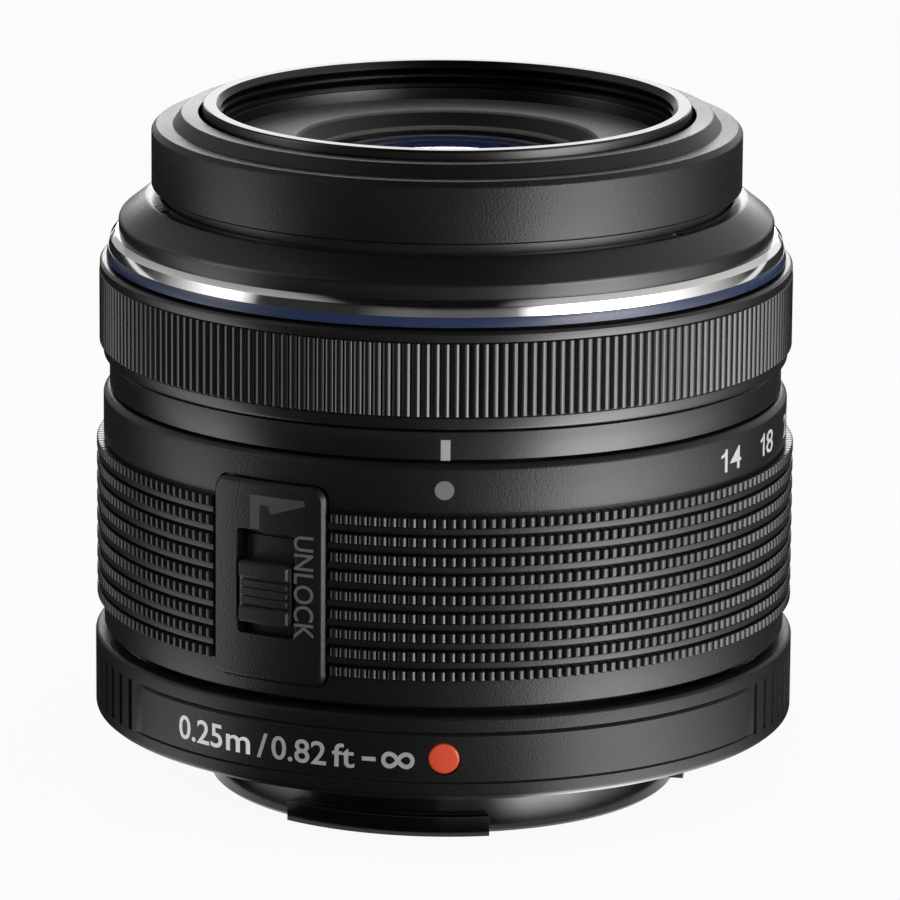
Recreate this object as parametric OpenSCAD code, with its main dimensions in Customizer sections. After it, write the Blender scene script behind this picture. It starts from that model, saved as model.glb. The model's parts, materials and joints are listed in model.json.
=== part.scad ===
// Retracting standard zoom lens, nose up.
// The origin is the centre of the mount flange plane, +Z runs along the optical axis to the front,
// and the index marks face -Y. Angles are counted from -Y towards +X.

/* [Barrel tubes] */
// Room between the filter rim and the bore of the sliding front barrel
tube_room = 2.15; // [1.8:0.05:2.6]
// Wall of the sliding front barrel
front_tube_wall = 1.1; // [0.9:0.05:1.4]
// Wall of the fixed barrel
fixed_wall = 1.1; // [0.9:0.05:1.5]
// Wall of the cam ring
cam_wall = 0.8; // [0.6:0.05:1.2]
// Wall of the sleeve under the focus ring
sleeve_wall = 0.6; // [0.5:0.05:1]
// Radial gap between parts that run on each other
run_gap = 0.3; // [0.2:0.02:0.4]
// Gap round parts that are fixed in their seats
fit_gap = 0.05; // [0.02:0.01:0.08]

/* [Rings along the barrel] */
// Visible edge of the mount flange below the base ring
flange_edge = 0.4; // [0.3:0.05:0.8]
// Height of the base ring
base_h = 6.6; // [6.4:0.1:9]
// Step from the zoom ring out to the base ring
base_step = 0.7; // [0.5:0.05:1]
// Wall of the base ring
base_wall = 1.35; // [1.1:0.05:1.45]
// Gap between the base ring and the zoom ring
base_gap = 0.5; // [0.4:0.05:0.8]
// Height of the zoom ring
zoom_h = 19.5; // [18:0.1:24]
// Wall of the zoom ring without its grip
zoom_wall = 2.05; // [1.95:0.05:2.6]
// Height of the index ring
index_h = 2.28; // [1.6:0.02:4]
// Wall of the index ring
index_wall = 0.95; // [0.7:0.05:1.2]
// Height of the focus ring
focus_h = 7.78; // [7:0.02:11]
// Wall of the focus ring without its ribs
focus_wall = 1.1; // [1:0.05:1.4]
// Height of the blue trim ring
blue_h = 0.78; // [0.5:0.02:1.5]
// Height of the chrome trim ring
chrome_h = 1.2; // [1:0.05:2]
// Height of the front shoulder
shoulder_h = 2.9; // [2.6:0.05:4]
// Gap between the rings that turn and their neighbours
ring_gap = 0.22; // [0.15:0.01:0.35]
// Gap between the front shoulder and the nose
nose_gap = 0.8; // [0.5:0.05:1.5]
// Height of the nose, from the decor ring's foot to the rim
nose_h = 6.6; // [6.2:0.05:9]

/* [Nose] */
// Nominal diameter of the filter thread
filter_d = 37; // [35:0.5:38.5]
// Pitch of the filter thread
thread_pitch = 0.75; // [0.5:0.05:0.9]
// Depth of the filter thread below the rim
thread_depth = 2.15; // [1.6:0.05:2.3]
// Wall of the rim outside the nominal thread
rim_wall = 0.95; // [0.7:0.05:1.1]
// Gap between the rim and the decor ring
rim_gap = 0.53; // [0.3:0.01:0.7]
// Width of the decor ring's raised lip
lip_w = 1.34; // [0.9:0.02:1.5]
// Height of the raised lip above the decor ring's face
lip_h = 0.9; // [0.5:0.05:1]
// Drop from the rim to the raised lip
lip_drop = 0.7; // [0.5:0.05:1]
// Wall of the decor ring round the front barrel
decor_wall = 0.99; // [0.8:0.01:1.4]
// Opening of the beauty ring
beauty_d = 24; // [23:0.1:26]

/* [Grips] */
// Ribs round the focus ring
focus_ribs = 230; // [150:1:240]
// Height of a focus rib above the ring
rib_h = 0.4; // [0.25:0.05:0.5]
// Spacing of the zoom grip's rows
row_pitch = 1.525; // [1.4:0.005:2]
// Height of one row of the zoom grip
row_h = 0.76; // [0.5:0.02:0.9]
// Stand of the zoom grip above its ring
row_stand = 0.57; // [0.4:0.01:0.65]
// Plain band above the zoom grip
zoom_band = 4.17; // [3.8:0.01:5]
// Plain band below the zoom grip
zoom_low_band = 2.3; // [1.8:0.05:3]
// Grip grooves on each side of the base ring
base_grooves = 16; // [10:1:17]
// Spacing of the base ring's grip grooves in degrees
groove_step = 3.7; // [3.2:0.1:3.8]

/* [Lock] */
// Width of the lock panel
panel_w = 10.2; // [9:0.1:11.5]
// Bare zoom ring below the lock panel
panel_low = 1.45; // [1.2:0.05:2]
// Bare zoom ring above the lock panel
panel_top = 2.65; // [2.2:0.05:3.2]
// Angle of the middle of the lock panel
lock_angle = -29.4; // [-40:0.1:-25]
// Panel left above and below the slider's window
panel_frame = 3.5; // [3:0.05:3.8]
// Width of the slider's window
window_w = 5.3; // [4.8:0.1:6]
// Travel of the lock slider
lock_travel = 2.4; // [1.8:0.1:2.6]
// Gap all round the lock slider
lock_gap = 0.3; // [0.2:0.05:0.35]

/* [Zoom motion] */
// Turn of the zoom ring in degrees
zoom_turn = 107; // [90:1:108]
// Travel of the front barrel
front_travel = 20; // [16:0.5:22]
// Travel of the second lens group
second_travel = 9; // [8:0.5:11]
// Diameter of a follower pin
pin_d = 2; // [1.6:0.1:2.2]
// Gap between a follower pin and its slot
pin_gap = 0.15; // [0.1:0.01:0.2]

/* [Mount] */
// Outer diameter of the bayonet
bayonet_d = 37.8; // [37:0.1:39]
// Bore of the bayonet
bayonet_bore = 32.8; // [31.6:0.1:33.4]
// Reach of the bayonet behind the flange
bayonet_h = 5.2; // [4.6:0.1:6]
// Stand of the bayonet tabs
tab_stand = 0.9; // [0.7:0.05:1.2]
// Thickness of the bayonet tabs
tab_h = 1.6; // [1.2:0.05:2]
// Thickness of the mount plate
plate_t = 2; // [1.8:0.05:2.4]
// Diameter of the index dot
dot_d = 2.36; // [1.8:0.02:2.8]
// Reach of the rear lens cell behind the flange
rear_reach = 2.6; // [2.2:0.1:3]
// Number of contact pins
contacts = 11; // [9:1:11]
// Diameter of a contact pin
contact_d = 1.1; // [0.8:0.05:1.2]

/* [Glass] */
// Diameter of the front glass
lens_1_d = 24.2; // [23:0.1:25]
// Diameter of the second glass
lens_2_d = 20.4; // [19:0.1:21.4]
// Diameter of the third glass
lens_3_d = 17; // [16:0.1:18]
// Diameter of the cemented pair
pair_d = 16; // [15.6:0.1:17]
// Diameter of the sixth glass
lens_6_d = 15; // [14.5:0.1:15.4]
// Diameter of the focusing glass
focus_lens_d = 18; // [17:0.1:19]
// Diameter of the rear glass
rear_lens_d = 20; // [19:0.1:21]
// Wall of the lens cells
cell_wall = 1.3; // [1:0.05:1.6]
// Ledge that a glass rests on
cell_ledge = 0.8; // [0.6:0.05:1]

/* [Iris] */
// Diameter of the open iris
iris_open_d = 14.4; // [14:0.1:14.8]
// Distance of the blade pivots from the axis
pivot_r = 14.5; // [13:0.1:15.5]
// Thickness of an iris blade
blade_t = 0.16; // [0.1:0.01:0.2]
// Height from one iris blade to the next
blade_rise = 0.28; // [0.25:0.01:0.32]
// Turn of an iris blade in degrees
blade_turn = 26; // [15:1:28]
// Turn of the iris ring in degrees
iris_turn = 20; // [14:1:24]

/* [Focus drive] */
// Diameter of a guide rod
rod_d = 1.5; // [1.2:0.1:1.8]
// Diameter of the lead screw
lead_d = 1.6; // [1.2:0.1:1.8]
// Radius of the focus motor's can
motor_r = 2.8; // [2.4:0.1:3.2]
// Height of the focus motor's can
motor_h = 3.4; // [3:0.1:4]
// Travel of the focus cell to each side
focus_travel = 1.5; // [1:0.1:1.6]

/* [Hidden] */
$fn = 96;
blade_count = 5;
BLADES = [for (i = [1 : blade_count]) str("iris_blade_", i)];

// Small overlap that keeps cuts clean
cut = 0.5;
// Play round a part that has room to spare
slack = 0.1;

// Radii from the axis outwards
rim_ro = filter_d / 2 + rim_wall;
front_ri = rim_ro + tube_room;
front_ro = front_ri + front_tube_wall;
fixed_ri = front_ro + run_gap;
fixed_ro = fixed_ri + fixed_wall;
fixed_mid = (fixed_ri + fixed_ro) / 2;
cam_ri = fixed_ro + run_gap;
cam_ro = cam_ri + cam_wall;
cam_mid = (cam_ri + cam_ro) / 2;
sleeve_ri = cam_ro + run_gap;
sleeve_ro = sleeve_ri + sleeve_wall;
index_ro = sleeve_ro + index_wall;
focus_ri = sleeve_ro + run_gap;
focus_ro = focus_ri + focus_wall;
zoom_ri = sleeve_ri;
zoom_ro = zoom_ri + zoom_wall;
base_ro = zoom_ro + base_step;
base_ri = base_ro - base_wall;
flange_r = base_ri + slack;

// Heights from the flange upwards
z_base0 = flange_edge;
z_base1 = z_base0 + base_h;
z_zoom0 = z_base1 + base_gap;
z_zoom1 = z_zoom0 + zoom_h;
z_index0 = z_zoom1 + ring_gap;
z_index1 = z_index0 + index_h;
z_focus0 = z_index1 + ring_gap;
z_focus1 = z_focus0 + focus_h;
z_blue0 = z_focus1 + ring_gap;
z_chrome0 = z_blue0 + blue_h;
z_chrome1 = z_chrome0 + chrome_h;
z_shoulder1 = z_chrome1 + shoulder_h;
z_decor0 = z_shoulder1 + nose_gap;
z_rim = z_decor0 + nose_h;

// Rear stack: mount plate, rear cell flange, fixed barrel flange
rear_flange_t = 1.2;
z_cell_flange = plate_t + rear_flange_t;
z_fixed_flange = z_cell_flange + rear_flange_t;
flange_out = base_ri - run_gap;
base_foot = 0.8;

// Fixed barrel and what sits on it
shoulder_lid = 1.6;
z_fixed1 = z_shoulder1 - shoulder_lid;
sleeve_lid = 1;
cam_lift = 1.5;
z_cam0 = z_zoom0 + cam_lift;
z_cam1 = z_chrome1 - sleeve_lid - run_gap;
shelf_t = 0.7;

// Follower pins
pin_r = pin_d / 2;
slot_r = pin_r + pin_gap;
front_pin_rise = 6.5;
second_pin_rise = 13.6;
z_front_pin = z_zoom0 + front_pin_rise;
z_second_pin = z_zoom0 + second_pin_rise;
FRONT_PINS = [20, 140, 260];
SECOND_PINS = [80, 200, 320];
pin_tip = cam_ro - pin_gap;
pin_root = 2.5;

// Mount screws, their bosses and the bayonet's tabs, each with its first angle and its span
SCREWS = [35, 145, 215, 325];
TABS = [[-38.5, 49.4], [81.5, 46], [201.5, 42]];
boss_r = 1.6;
screw_at = fixed_ri - boss_r / 2;
foot_ri = screw_at - boss_r - 2 * slack;
screw_head_r = 1.5;
screw_head_h = 0.9;
screw_shank_r = 0.85;
screw_len = 5.6;
z_boss = screw_head_h + screw_len;
bayonet_r = bayonet_d / 2;
bore_r = bayonet_bore / 2;

// Contacts, with their spacing in degrees
contact_turn = 5.6;
CONTACTS = [for (i = [0 : contacts - 1]) 180 + (i - (contacts - 1) / 2) * contact_turn];
contact_l = 2;
contact_sink = 0.55;
block_t = 2.1;
contact_ro = bore_r - fit_gap;
contact_ri = contact_ro - block_t;
contact_at = (contact_ri + contact_ro) / 2;
z_contact = contact_sink - bayonet_h;

// Rear cell
z_rear_cell = -rear_reach;
rear_seat = rear_lens_d / 2 + fit_gap;
rear_tube_r = rear_seat + cell_wall;
rear_ledge_t = 1;

// Nose, with the minor radius of a metric thread
minor_share = 0.5413;
thread_minor_r = filter_d / 2 - minor_share * thread_pitch;
thread_step = 0.35;
seat_r = thread_minor_r - thread_step;
decor_ri = rim_ro + rim_gap;
decor_ro = front_ro + fit_gap + decor_wall;
z_lip = z_rim - lip_drop;
z_face = z_lip - lip_h;
decor_top_t = 0.8;
z_nose = z_face - decor_top_t;
disc_t = 1.5;
z_disc = z_decor0 + disc_t;
cell_flange_t = 0.7;
z_cell_top = z_disc + cell_flange_t;
cell_flange_r = seat_r - slack;
disc_lap = 1.05;
disc_ri = cell_flange_r - disc_lap;
cell_ro = disc_ri - 2 * slack;
cell_screw_r = 0.4;
cell_screw_at = (disc_ri + cell_flange_r) / 2;
well_w = 1.5;
well_r = beauty_d / 2 - well_w;

// Front glasses, with curve radii that are positive where a face bulges outwards
lens_1_front = 62;
lens_1_back = -30;
lens_1_rim = 2.6;
z_lens_1 = z_cell_top - lens_1_rim - bulge(lens_1_front, lens_1_d / 2, well_r) - slack;
lens_2_front = 24;
lens_2_back = -60;
lens_2_rim = 2.4;
lens_space = 2;
z_lens_2 = z_lens_1 - lens_2_rim - lens_space;
cell_foot = 2.2;
z_front_cell = z_lens_2 - cell_foot;

// Front shoulder's screws and seal
SHOULDER_SCREWS = [for (a = FRONT_PINS) a + 30];
shoulder_grip = 1.9;
shoulder_screw_r = 0.3;
shoulder_head_r = 0.48;
shoulder_head_h = 0.55;
seal_h = 0.75;
seal_depth = 0.15;
seal_fit = 0.02;
seal_foot = 0.25;
z_seal0 = z_fixed1 + seal_foot;

// Lock
panel_stand = 0.7;
panel_corner = 1.15;
window_corner = 0.5;
small_corner = 0.2;
panel_ro = zoom_ro + panel_stand;
pocket_d = 0.55;
pocket_r = zoom_ro - pocket_d;
z_panel0 = z_zoom0 + panel_low;
z_panel1 = z_zoom1 - panel_top;
z_window0 = z_panel0 + panel_frame;
z_window1 = z_panel1 - panel_frame;
slider_w = window_w - 2 * lock_gap;
slider_rise = 1;
z_slider0 = z_window0 + slider_rise;
z_slider1 = z_window1 - lock_travel - slack;
slider_stand = 0.55;
slider_ro = panel_ro + slider_stand;
pawl_t = 0.8;
pawl_ri = zoom_ri + 2 * slack;
pawl_ro = pawl_ri + pawl_t;
pawl_w = 3.4;
pawl_rise = 2;
stem_w = 2;
stem_inset = 1;
z_stem0 = z_slider0 + stem_inset;
z_stem1 = z_slider1 - stem_inset;
z_pawl0 = z_zoom0 + pawl_rise;
z_pawl1 = z_stem1;
pawl_bite = 0.3;
z_pawl_tip = z_base1 - pawl_bite;
track_d = pawl_bite + 2 * slack;
spring_r = 0.38;
spring_wire = 0.1;
spring_at = (pawl_ri + pawl_ro) / 2;
spring_drop = 1.4;
z_spring1 = z_panel1 - spring_drop;
key_w = 5;
key_h = 2.8;
key_reach = 0.9;
key_ro = zoom_ri + key_reach;
z_key1 = z_cam0 + key_h;

// Index dot, trim rings, focus sensor and the comb that it reads
dot_rise = 3.25;
dot_t = 0.6;
z_dot = z_base0 + dot_rise;
trim_w = 1.2;
trim_ro = sleeve_ro + trim_w;
trim_lean = 0.15;
sensor_angle = 165;
sensor_w = 4;
sensor_h = 2.98;
sensor_corner = 0.3;
sensor_drop = 1;
z_sensor1 = z_focus1 - sensor_drop;
z_sensor0 = z_sensor1 - sensor_h;
comb_t = 0.35;
comb_ro = focus_ri + slack + comb_t;
comb_over = 0.3;

// Second lens group, from the follower pins' disc
pin_skin = 0.3;
disc2_t = pin_d + 2 * pin_skin;
z_disc2 = z_second_pin - disc2_t / 2;
z_iris = z_disc2 + disc2_t;
carriage_r = front_ri - run_gap - slack;
pair_seat = pair_d / 2 + fit_gap;
pair_tube_r = pair_seat + cell_wall;
pair_face = 30;
pair_t = 1.7;
pair_sink = 1.2;
z_pair = z_disc2 - pair_sink;
lens_4_front = 22;
lens_4_rim = 1;
lens_6_back = 30;
lens_6_rim = 1.9;
six_depth = lens_6_rim + 3 * slack;
z_second0 = z_pair - pair_t - cell_ledge - six_depth;

// Iris
iris_wall = 1.5;
iris_base_t = 0.6;
iris_ring_t = 0.6;
cover_t = 0.6;
cover_ledge = 0.4;
cover_collar = 2.6;
z_blade0 = z_iris + iris_base_t + pin_gap;
z_iris_ring = z_blade0 + blade_count * blade_rise + slack;
z_cover = z_iris_ring + iris_ring_t + 2 * slack;
pivot_inset = 2.5;
pivot_rim = 2.9;
iris_r = pivot_r + pivot_rim;
pivot_pin_r = 0.4;
drive_angle = 11;
drive_pin_r = 0.35;
blade_ri = iris_open_d / 2 + slack;
blade_ro = pivot_r - pivot_inset;
lens_3_front = 15;
lens_3_back = 60;
lens_3_rim = 1.6;
z_lens_3 = z_cover + cover_t + cover_ledge + bulge(lens_3_back, lens_3_d / 2, iris_open_d / 2) + fit_gap;
iris_motor_r = 2.6;
iris_motor_h = 5.2;

// Focus drive
motor_room = 0.6;
drive_at = foot_ri - motor_room - motor_r;
RODS = [60, 240];
lead_angle = 150;
lead_seat = 1.5;
rod_r = rod_d / 2;
lead_r = lead_d / 2;
rod_sleeve_wall = 1;
rod_short = 1;
z_rod1 = z_second0 - rod_short;
focus_cell_h = 2;
focus_ledge = 0.6;
focus_lens_rim = 1.3;
focus_lens_front = -40;
sleeve_h = 3.4;
z_focus_cell = z_cell_flange + motor_h + run_gap + focus_travel + (sleeve_h - focus_cell_h) / 2;

// Places a child at an angle from -Y, a radius and a height, with its -Y side outwards
module at(angle, r = 0, z = 0) {
    rotate([0, 0, angle]) translate([0, -r, z]) children();
}

// A turned piece from the points of its half section
module turned(points) {
    rotate_extrude() polygon(points);
}

module ring(r_in, r_out, z0, z1) {
    turned([[r_in, z0], [r_out, z0], [r_out, z1], [r_in, z1]]);
}

// Part of a ring between two angles
module sector(r_in, r_out, a0, a1, z0, z1) {
    rotate([0, 0, a0 - 90]) rotate_extrude(angle = a1 - a0)
        polygon([[r_in, z0], [r_out, z0], [r_out, z1], [r_in, z1]]);
}

// A round pin that points outwards between two radii
module spoke(angle, r0, r1, z, pin) {
    at(angle, r0, z) rotate([90, 0, 0]) cylinder(r = pin, h = r1 - r0);
}

// An upright round pin
module post(angle, r, z0, z1, pin) {
    at(angle, r, z0) cylinder(r = pin, h = z1 - z0);
}

module rounded(w, h, corner) {
    square([w - 2 * corner, h], center = true);
    square([w, h - 2 * corner], center = true);
    for (x = [-1, 1], y = [-1, 1])
        translate([x * (w / 2 - corner), y * (h / 2 - corner)]) circle(corner);
}

// A plate that follows the barrel between two radii, with round corners seen from outside
module plate_on_ring(r0, r1, angle, w, z0, z1, corner) {
    margin = 2;
    at(angle) intersection() {
        translate([0, margin - r0, (z0 + z1) / 2]) rotate([90, 0, 0])
            linear_extrude(r1 - r0 + 2 * margin) rounded(w, z1 - z0, corner);
        ring(r0, r1, z0 - cut, z1 + cut);
    }
}

// Height of a spherical face above its rim plane, at distance x from the axis
function bulge(radius, rim, x) = radius == 0 ? 0 : sign(radius)
    * (sqrt(radius * radius - x * x) - sqrt(radius * radius - rim * rim));

// A glass with its rim from z up, and radii that are positive where a face bulges outwards
module glass(d, z, rim_h, front_r, back_r) {
    steps = 10;
    rim = d / 2;
    turned(concat(
        [for (i = [0 : steps]) [rim * i / steps, z + rim_h + bulge(front_r, rim, rim * i / steps)]],
        [for (i = [steps : -1 : 0]) [rim * i / steps, z - bulge(back_r, rim, rim * i / steps)]]));
}

// Straight keyways through a tube for a set of follower pins
module keyways(angles, r0, r1, z0, z1) {
    for (a = angles)
        at(a, r1 + cut, z0) translate([-slot_r, 0, 0]) cube([2 * slot_r, r1 - r0 + 2 * cut, z1 - z0]);
}

// A spiral slot that lifts a pin by travel over the zoom turn, open through the cam ring's wall
module spiral_slot(angle, z0, travel) {
    slope = atan2(travel, zoom_turn * PI / 180 * cam_mid);
    half = (slot_r / sin(slope)) / cam_mid * 180 / PI;
    lead = zoom_turn / travel;
    arcs = [-1, -0.5, 0, 0.5, 1];
    r0 = cam_ri - cut;
    r1 = cam_ro + cut;
    rotate([0, 0, angle - slot_r * lead - 90]) translate([0, 0, z0 - slot_r])
        linear_extrude(height = travel + 2 * slot_r, twist = -(travel + 2 * slot_r) * lead, slices = 16,
                       segments = 10)
            polygon(concat(
                [for (t = arcs) r0 * [cos(t * half), sin(t * half)]],
                [for (t = [4 : -1 : 0]) r1 * [cos(arcs[t] * half), sin(arcs[t] * half)]]));
}

// Mount and rear

module mount_plate() {
    edge = 0.25;
    lock_hole_r = 1.2;
    lock_hole_angle = -82;
    color("#1b1b1c") difference() {
        union() {
            turned([[bore_r, -bayonet_h], [bayonet_r - edge, -bayonet_h], [bayonet_r, edge - bayonet_h],
                    [bayonet_r, 0], [flange_r - edge / 2, 0], [flange_r, edge / 2], [flange_r, flange_edge],
                    [base_ri - fit_gap, flange_edge], [base_ri - fit_gap, plate_t], [bore_r, plate_t]]);
            for (tab = TABS)
                sector(bayonet_r - cut, bayonet_r + tab_stand, tab[0], tab[0] + tab[1],
                       -bayonet_h, tab_h - bayonet_h);
        }
        for (a = SCREWS) {
            post(a, screw_at, -cut, screw_head_h, screw_head_r + fit_gap);
            post(a, screw_at, -cut, plate_t + cut, screw_shank_r + fit_gap);
        }
        // Hole for the camera's lock pin
        post(lock_hole_angle, (bayonet_r + flange_r) / 2, -cut, plate_t / 2, lock_hole_r);
    }
}

module mount_screws() {
    cross_w = 0.4;
    cross_l = 1.7;
    color("#8d8d90") for (a = SCREWS) difference() {
        union() {
            post(a, screw_at, slack, screw_head_h, screw_head_r);
            post(a, screw_at, screw_head_h - slack, screw_len, screw_shank_r);
        }
        for (turn = [0, 90])
            at(a, screw_at, slack) rotate([0, 0, turn + 45])
                cube([cross_l, cross_w, 2 * cross_w], center = true);
    }
}

module contact_block() {
    end = 5;
    color("#202022") difference() {
        sector(contact_ri, contact_ro, CONTACTS[0] - end, CONTACTS[contacts - 1] + end, z_contact, plate_t);
        for (a = CONTACTS)
            post(a, contact_at, z_contact - cut, z_contact + contact_l, contact_d / 2 + fit_gap);
    }
}

module contact_pins() {
    stand = 0.25;
    color("#c9a653") for (a = CONTACTS)
        post(a, contact_at, z_contact - stand, z_contact + contact_l - fit_gap, contact_d / 2);
}

module rear_baffle() {
    baffle_t = 0.8;
    gate_w = 17.5;
    gate_h = 13.5;
    gate_corner = 2;
    color("#151516") difference() {
        ring(0, rear_tube_r, z_rear_cell - baffle_t, z_rear_cell);
        translate([0, 0, z_rear_cell - baffle_t - cut])
            linear_extrude(baffle_t + 2 * cut) rounded(gate_w, gate_h, gate_corner);
    }
}

module rear_cell() {
    ledge_ri = rear_seat - cell_ledge;
    z_ledge = z_rear_cell + rear_ledge_t;
    collar_h = 1.6;
    z_collar = z_cell_flange + collar_h;
    color("#232325") difference() {
        turned([[ledge_ri, z_rear_cell], [rear_tube_r, z_rear_cell], [rear_tube_r, plate_t],
                [flange_out, plate_t], [flange_out, z_cell_flange], [rear_tube_r, z_cell_flange],
                [rear_tube_r, z_collar], [rear_seat, z_collar], [rear_seat, z_ledge], [ledge_ri, z_ledge]]);
        for (a = SCREWS) post(a, screw_at, 0, z_cell_flange + cut, screw_shank_r + fit_gap);
        for (a = RODS) post(a, drive_at, 0, z_cell_flange + cut, rod_r);
    }
}

module rear_lens() {
    front_curve = 34;
    back_curve = 60;
    rim_h = 2.6;
    lift = bulge(back_curve, rear_lens_d / 2, rear_seat - cell_ledge) + fit_gap;
    color("#9fb4c0", 0.6)
        glass(rear_lens_d, z_rear_cell + rear_ledge_t + lift, rim_h, front_curve, back_curve);
}

module guide_rods() {
    color("#b9bbbd") for (a = RODS) post(a, drive_at, plate_t, z_rod1, rod_r);
}

module focus_motor() {
    color("#8f9194") difference() {
        post(lead_angle, drive_at, z_cell_flange, z_cell_flange + motor_h, motor_r);
        post(lead_angle, drive_at, z_cell_flange + lead_seat, z_cell_flange + motor_h + cut,
             lead_r + fit_gap);
    }
}

module lead_screw() {
    color("#c3b183") post(lead_angle, drive_at, z_cell_flange + lead_seat + slack, z_rod1, lead_r);
}

module main_board() {
    board_t = 0.6;
    board_ri = fixed_ro + run_gap;
    board_ro = base_ri - base_foot - run_gap;
    chip_w = board_ro - board_ri - 3 * slack;
    chip_l = 4;
    chip_t = 0.6;
    color("#2f6b43") {
        ring(board_ri, board_ro, z_fixed_flange, z_fixed_flange + board_t);
        for (a = [70, 100, 160, 200, 260, 290])
            at(a, (board_ri + board_ro) / 2, z_fixed_flange + board_t - slack)
                translate([-chip_l / 2, -chip_w / 2, 0]) cube([chip_l, chip_w, chip_t]);
    }
}

module base_ring() {
    edge = 0.9;
    lip_ri = zoom_ri + 2 * slack;
    z_lip_foot = z_base1 - track_d - 2 * slack;
    z_foot = z_fixed_flange + base_foot;
    band_edge = 1.3;
    band_cut = 0.15;
    band_half = 58;
    z_band0 = z_base0 + band_edge;
    z_band1 = z_base1 - band_edge;
    groove_w = 0.6;
    groove_d = 0.45;
    groove_end = 0.3;
    groove_span = (base_grooves - 1) * groove_step / 2;
    track_end = 6;
    color("#2a2928") difference() {
        turned([[base_ri, z_base0], [base_ro - edge, z_base0], [base_ro - edge / 4, z_base0 + edge / 3],
                [base_ro, z_base0 + edge], [base_ro, z_base1 - edge],
                for (t = [15 : 15 : 75]) [base_ro - edge / 2 * (1 - cos(t)), z_base1 - edge + edge * sin(t)],
                [base_ro - edge / 2, z_base1], [lip_ri, z_base1], [lip_ri, z_lip_foot], [base_ri, z_lip_foot],
                [base_ri, z_foot], [base_ri - base_foot, z_foot], [base_ri - base_foot, z_fixed_flange],
                [base_ri, z_fixed_flange]]);
        // Set-back bands at the front and the back
        for (middle = [0, 180])
            sector(base_ro - band_cut, base_ro + cut, middle - band_half, middle + band_half,
                   z_band0, z_band1);
        // Grip grooves on both sides
        for (side = [90, 270], i = [0 : base_grooves - 1])
            at(side - groove_span + i * groove_step, base_ro + cut, z_band0 + groove_end)
                translate([-groove_w / 2, 0, 0])
                    cube([groove_w, groove_d + cut, z_band1 - z_band0 - 2 * groove_end]);
        // Track for the lock pawl
        sector(zoom_ri, pawl_ro + run_gap, lock_angle - zoom_turn - track_end, lock_angle + track_end,
               z_base1 - track_d, z_base1 + cut);
        spoke(0, base_ro - dot_t, base_ro + cut, z_dot, dot_d / 2 + fit_gap);
    }
}

module index_dot() {
    color("#e8552f") spoke(0, base_ro - dot_t, base_ro - fit_gap, z_dot, dot_d / 2);
}

// Fixed barrel, sleeve and trim

module fixed_barrel() {
    color("#303032") difference() {
        union() {
            turned([[foot_ri, z_cell_flange], [flange_out, z_cell_flange], [flange_out, z_fixed_flange],
                    [fixed_ro, z_fixed_flange], [fixed_ro, z_cam0 - run_gap - shelf_t],
                    [cam_ro - slack, z_cam0 - run_gap - shelf_t], [cam_ro - slack, z_cam0 - run_gap],
                    [fixed_ro, z_cam0 - run_gap], [fixed_ro, z_fixed1], [fixed_ri, z_fixed1],
                    [fixed_ri, z_fixed_flange], [foot_ri, z_fixed_flange]]);
            for (a = SCREWS) post(a, screw_at, z_cell_flange, z_boss, boss_r);
        }
        keyways(FRONT_PINS, fixed_ri, fixed_ro, z_front_pin - slot_r, z_front_pin + front_travel + slot_r);
        keyways(SECOND_PINS, fixed_ri, fixed_ro, z_second_pin - slot_r,
                z_second_pin + second_travel + slot_r);
        for (a = SCREWS) post(a, screw_at, plate_t, screw_len + 2 * slack, screw_shank_r + fit_gap);
        for (a = SHOULDER_SCREWS)
            post(a, fixed_mid, z_fixed1 - shoulder_grip - slack, z_fixed1 + cut, shoulder_screw_r + fit_gap);
    }
}

module shoulder_screws() {
    z_head = z_shoulder1 - shoulder_head_h;
    color("#8d8d90") for (a = SHOULDER_SCREWS) {
        post(a, fixed_mid, z_fixed1 - shoulder_grip, z_head + slack, shoulder_screw_r);
        post(a, fixed_mid, z_head, z_shoulder1 - slack, shoulder_head_r);
    }
}

module front_shoulder() {
    opening = front_ro + run_gap;
    crown = fixed_ro;
    brow = sleeve_ro + 2 * slack;
    slope = 0.8;
    brow_h = shoulder_h - (brow - crown) * slope;
    color("#2b2b2a") difference() {
        turned([[opening, z_fixed1], [fixed_ro + fit_gap, z_fixed1], [fixed_ro + fit_gap, z_chrome1],
                [brow, z_chrome1], [brow, z_chrome1 + brow_h - slack], [brow - slack, z_chrome1 + brow_h],
                [crown, z_shoulder1], [opening, z_shoulder1], [opening, z_seal0 + seal_h],
                [opening + seal_depth, z_seal0 + seal_h], [opening + seal_depth, z_seal0],
                [opening, z_seal0]]);
        for (a = SHOULDER_SCREWS) {
            post(a, fixed_mid, z_fixed1 - cut, z_shoulder1 + cut, shoulder_screw_r + fit_gap);
            post(a, fixed_mid, z_shoulder1 - shoulder_head_h, z_shoulder1 + cut,
                 shoulder_head_r + fit_gap / 2);
        }
    }
}

module light_seal() {
    brush = run_gap / 3;
    color("#0c0c0c") ring(front_ro + brush, front_ro + run_gap + seal_depth - seal_fit,
                          z_seal0 + seal_fit, z_seal0 + seal_h - seal_fit);
}

module focus_sleeve() {
    color("#29292a") difference() {
        turned([[sleeve_ri, z_index0], [sleeve_ro, z_index0], [sleeve_ro, z_chrome1],
                [fixed_ro + fit_gap, z_chrome1], [fixed_ro + fit_gap, z_chrome1 - sleeve_lid],
                [sleeve_ri, z_chrome1 - sleeve_lid]]);
        plate_on_ring(sleeve_ri - cut, sleeve_ro + cut, sensor_angle, sensor_w + 2 * fit_gap,
                      z_sensor0 - fit_gap, z_sensor1 + fit_gap, sensor_corner);
    }
}

module focus_sensor() {
    color("#3a3a3f") plate_on_ring(sleeve_ri - slack, sleeve_ro + fit_gap, sensor_angle, sensor_w,
                                   z_sensor0, z_sensor1, sensor_corner);
}

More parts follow.
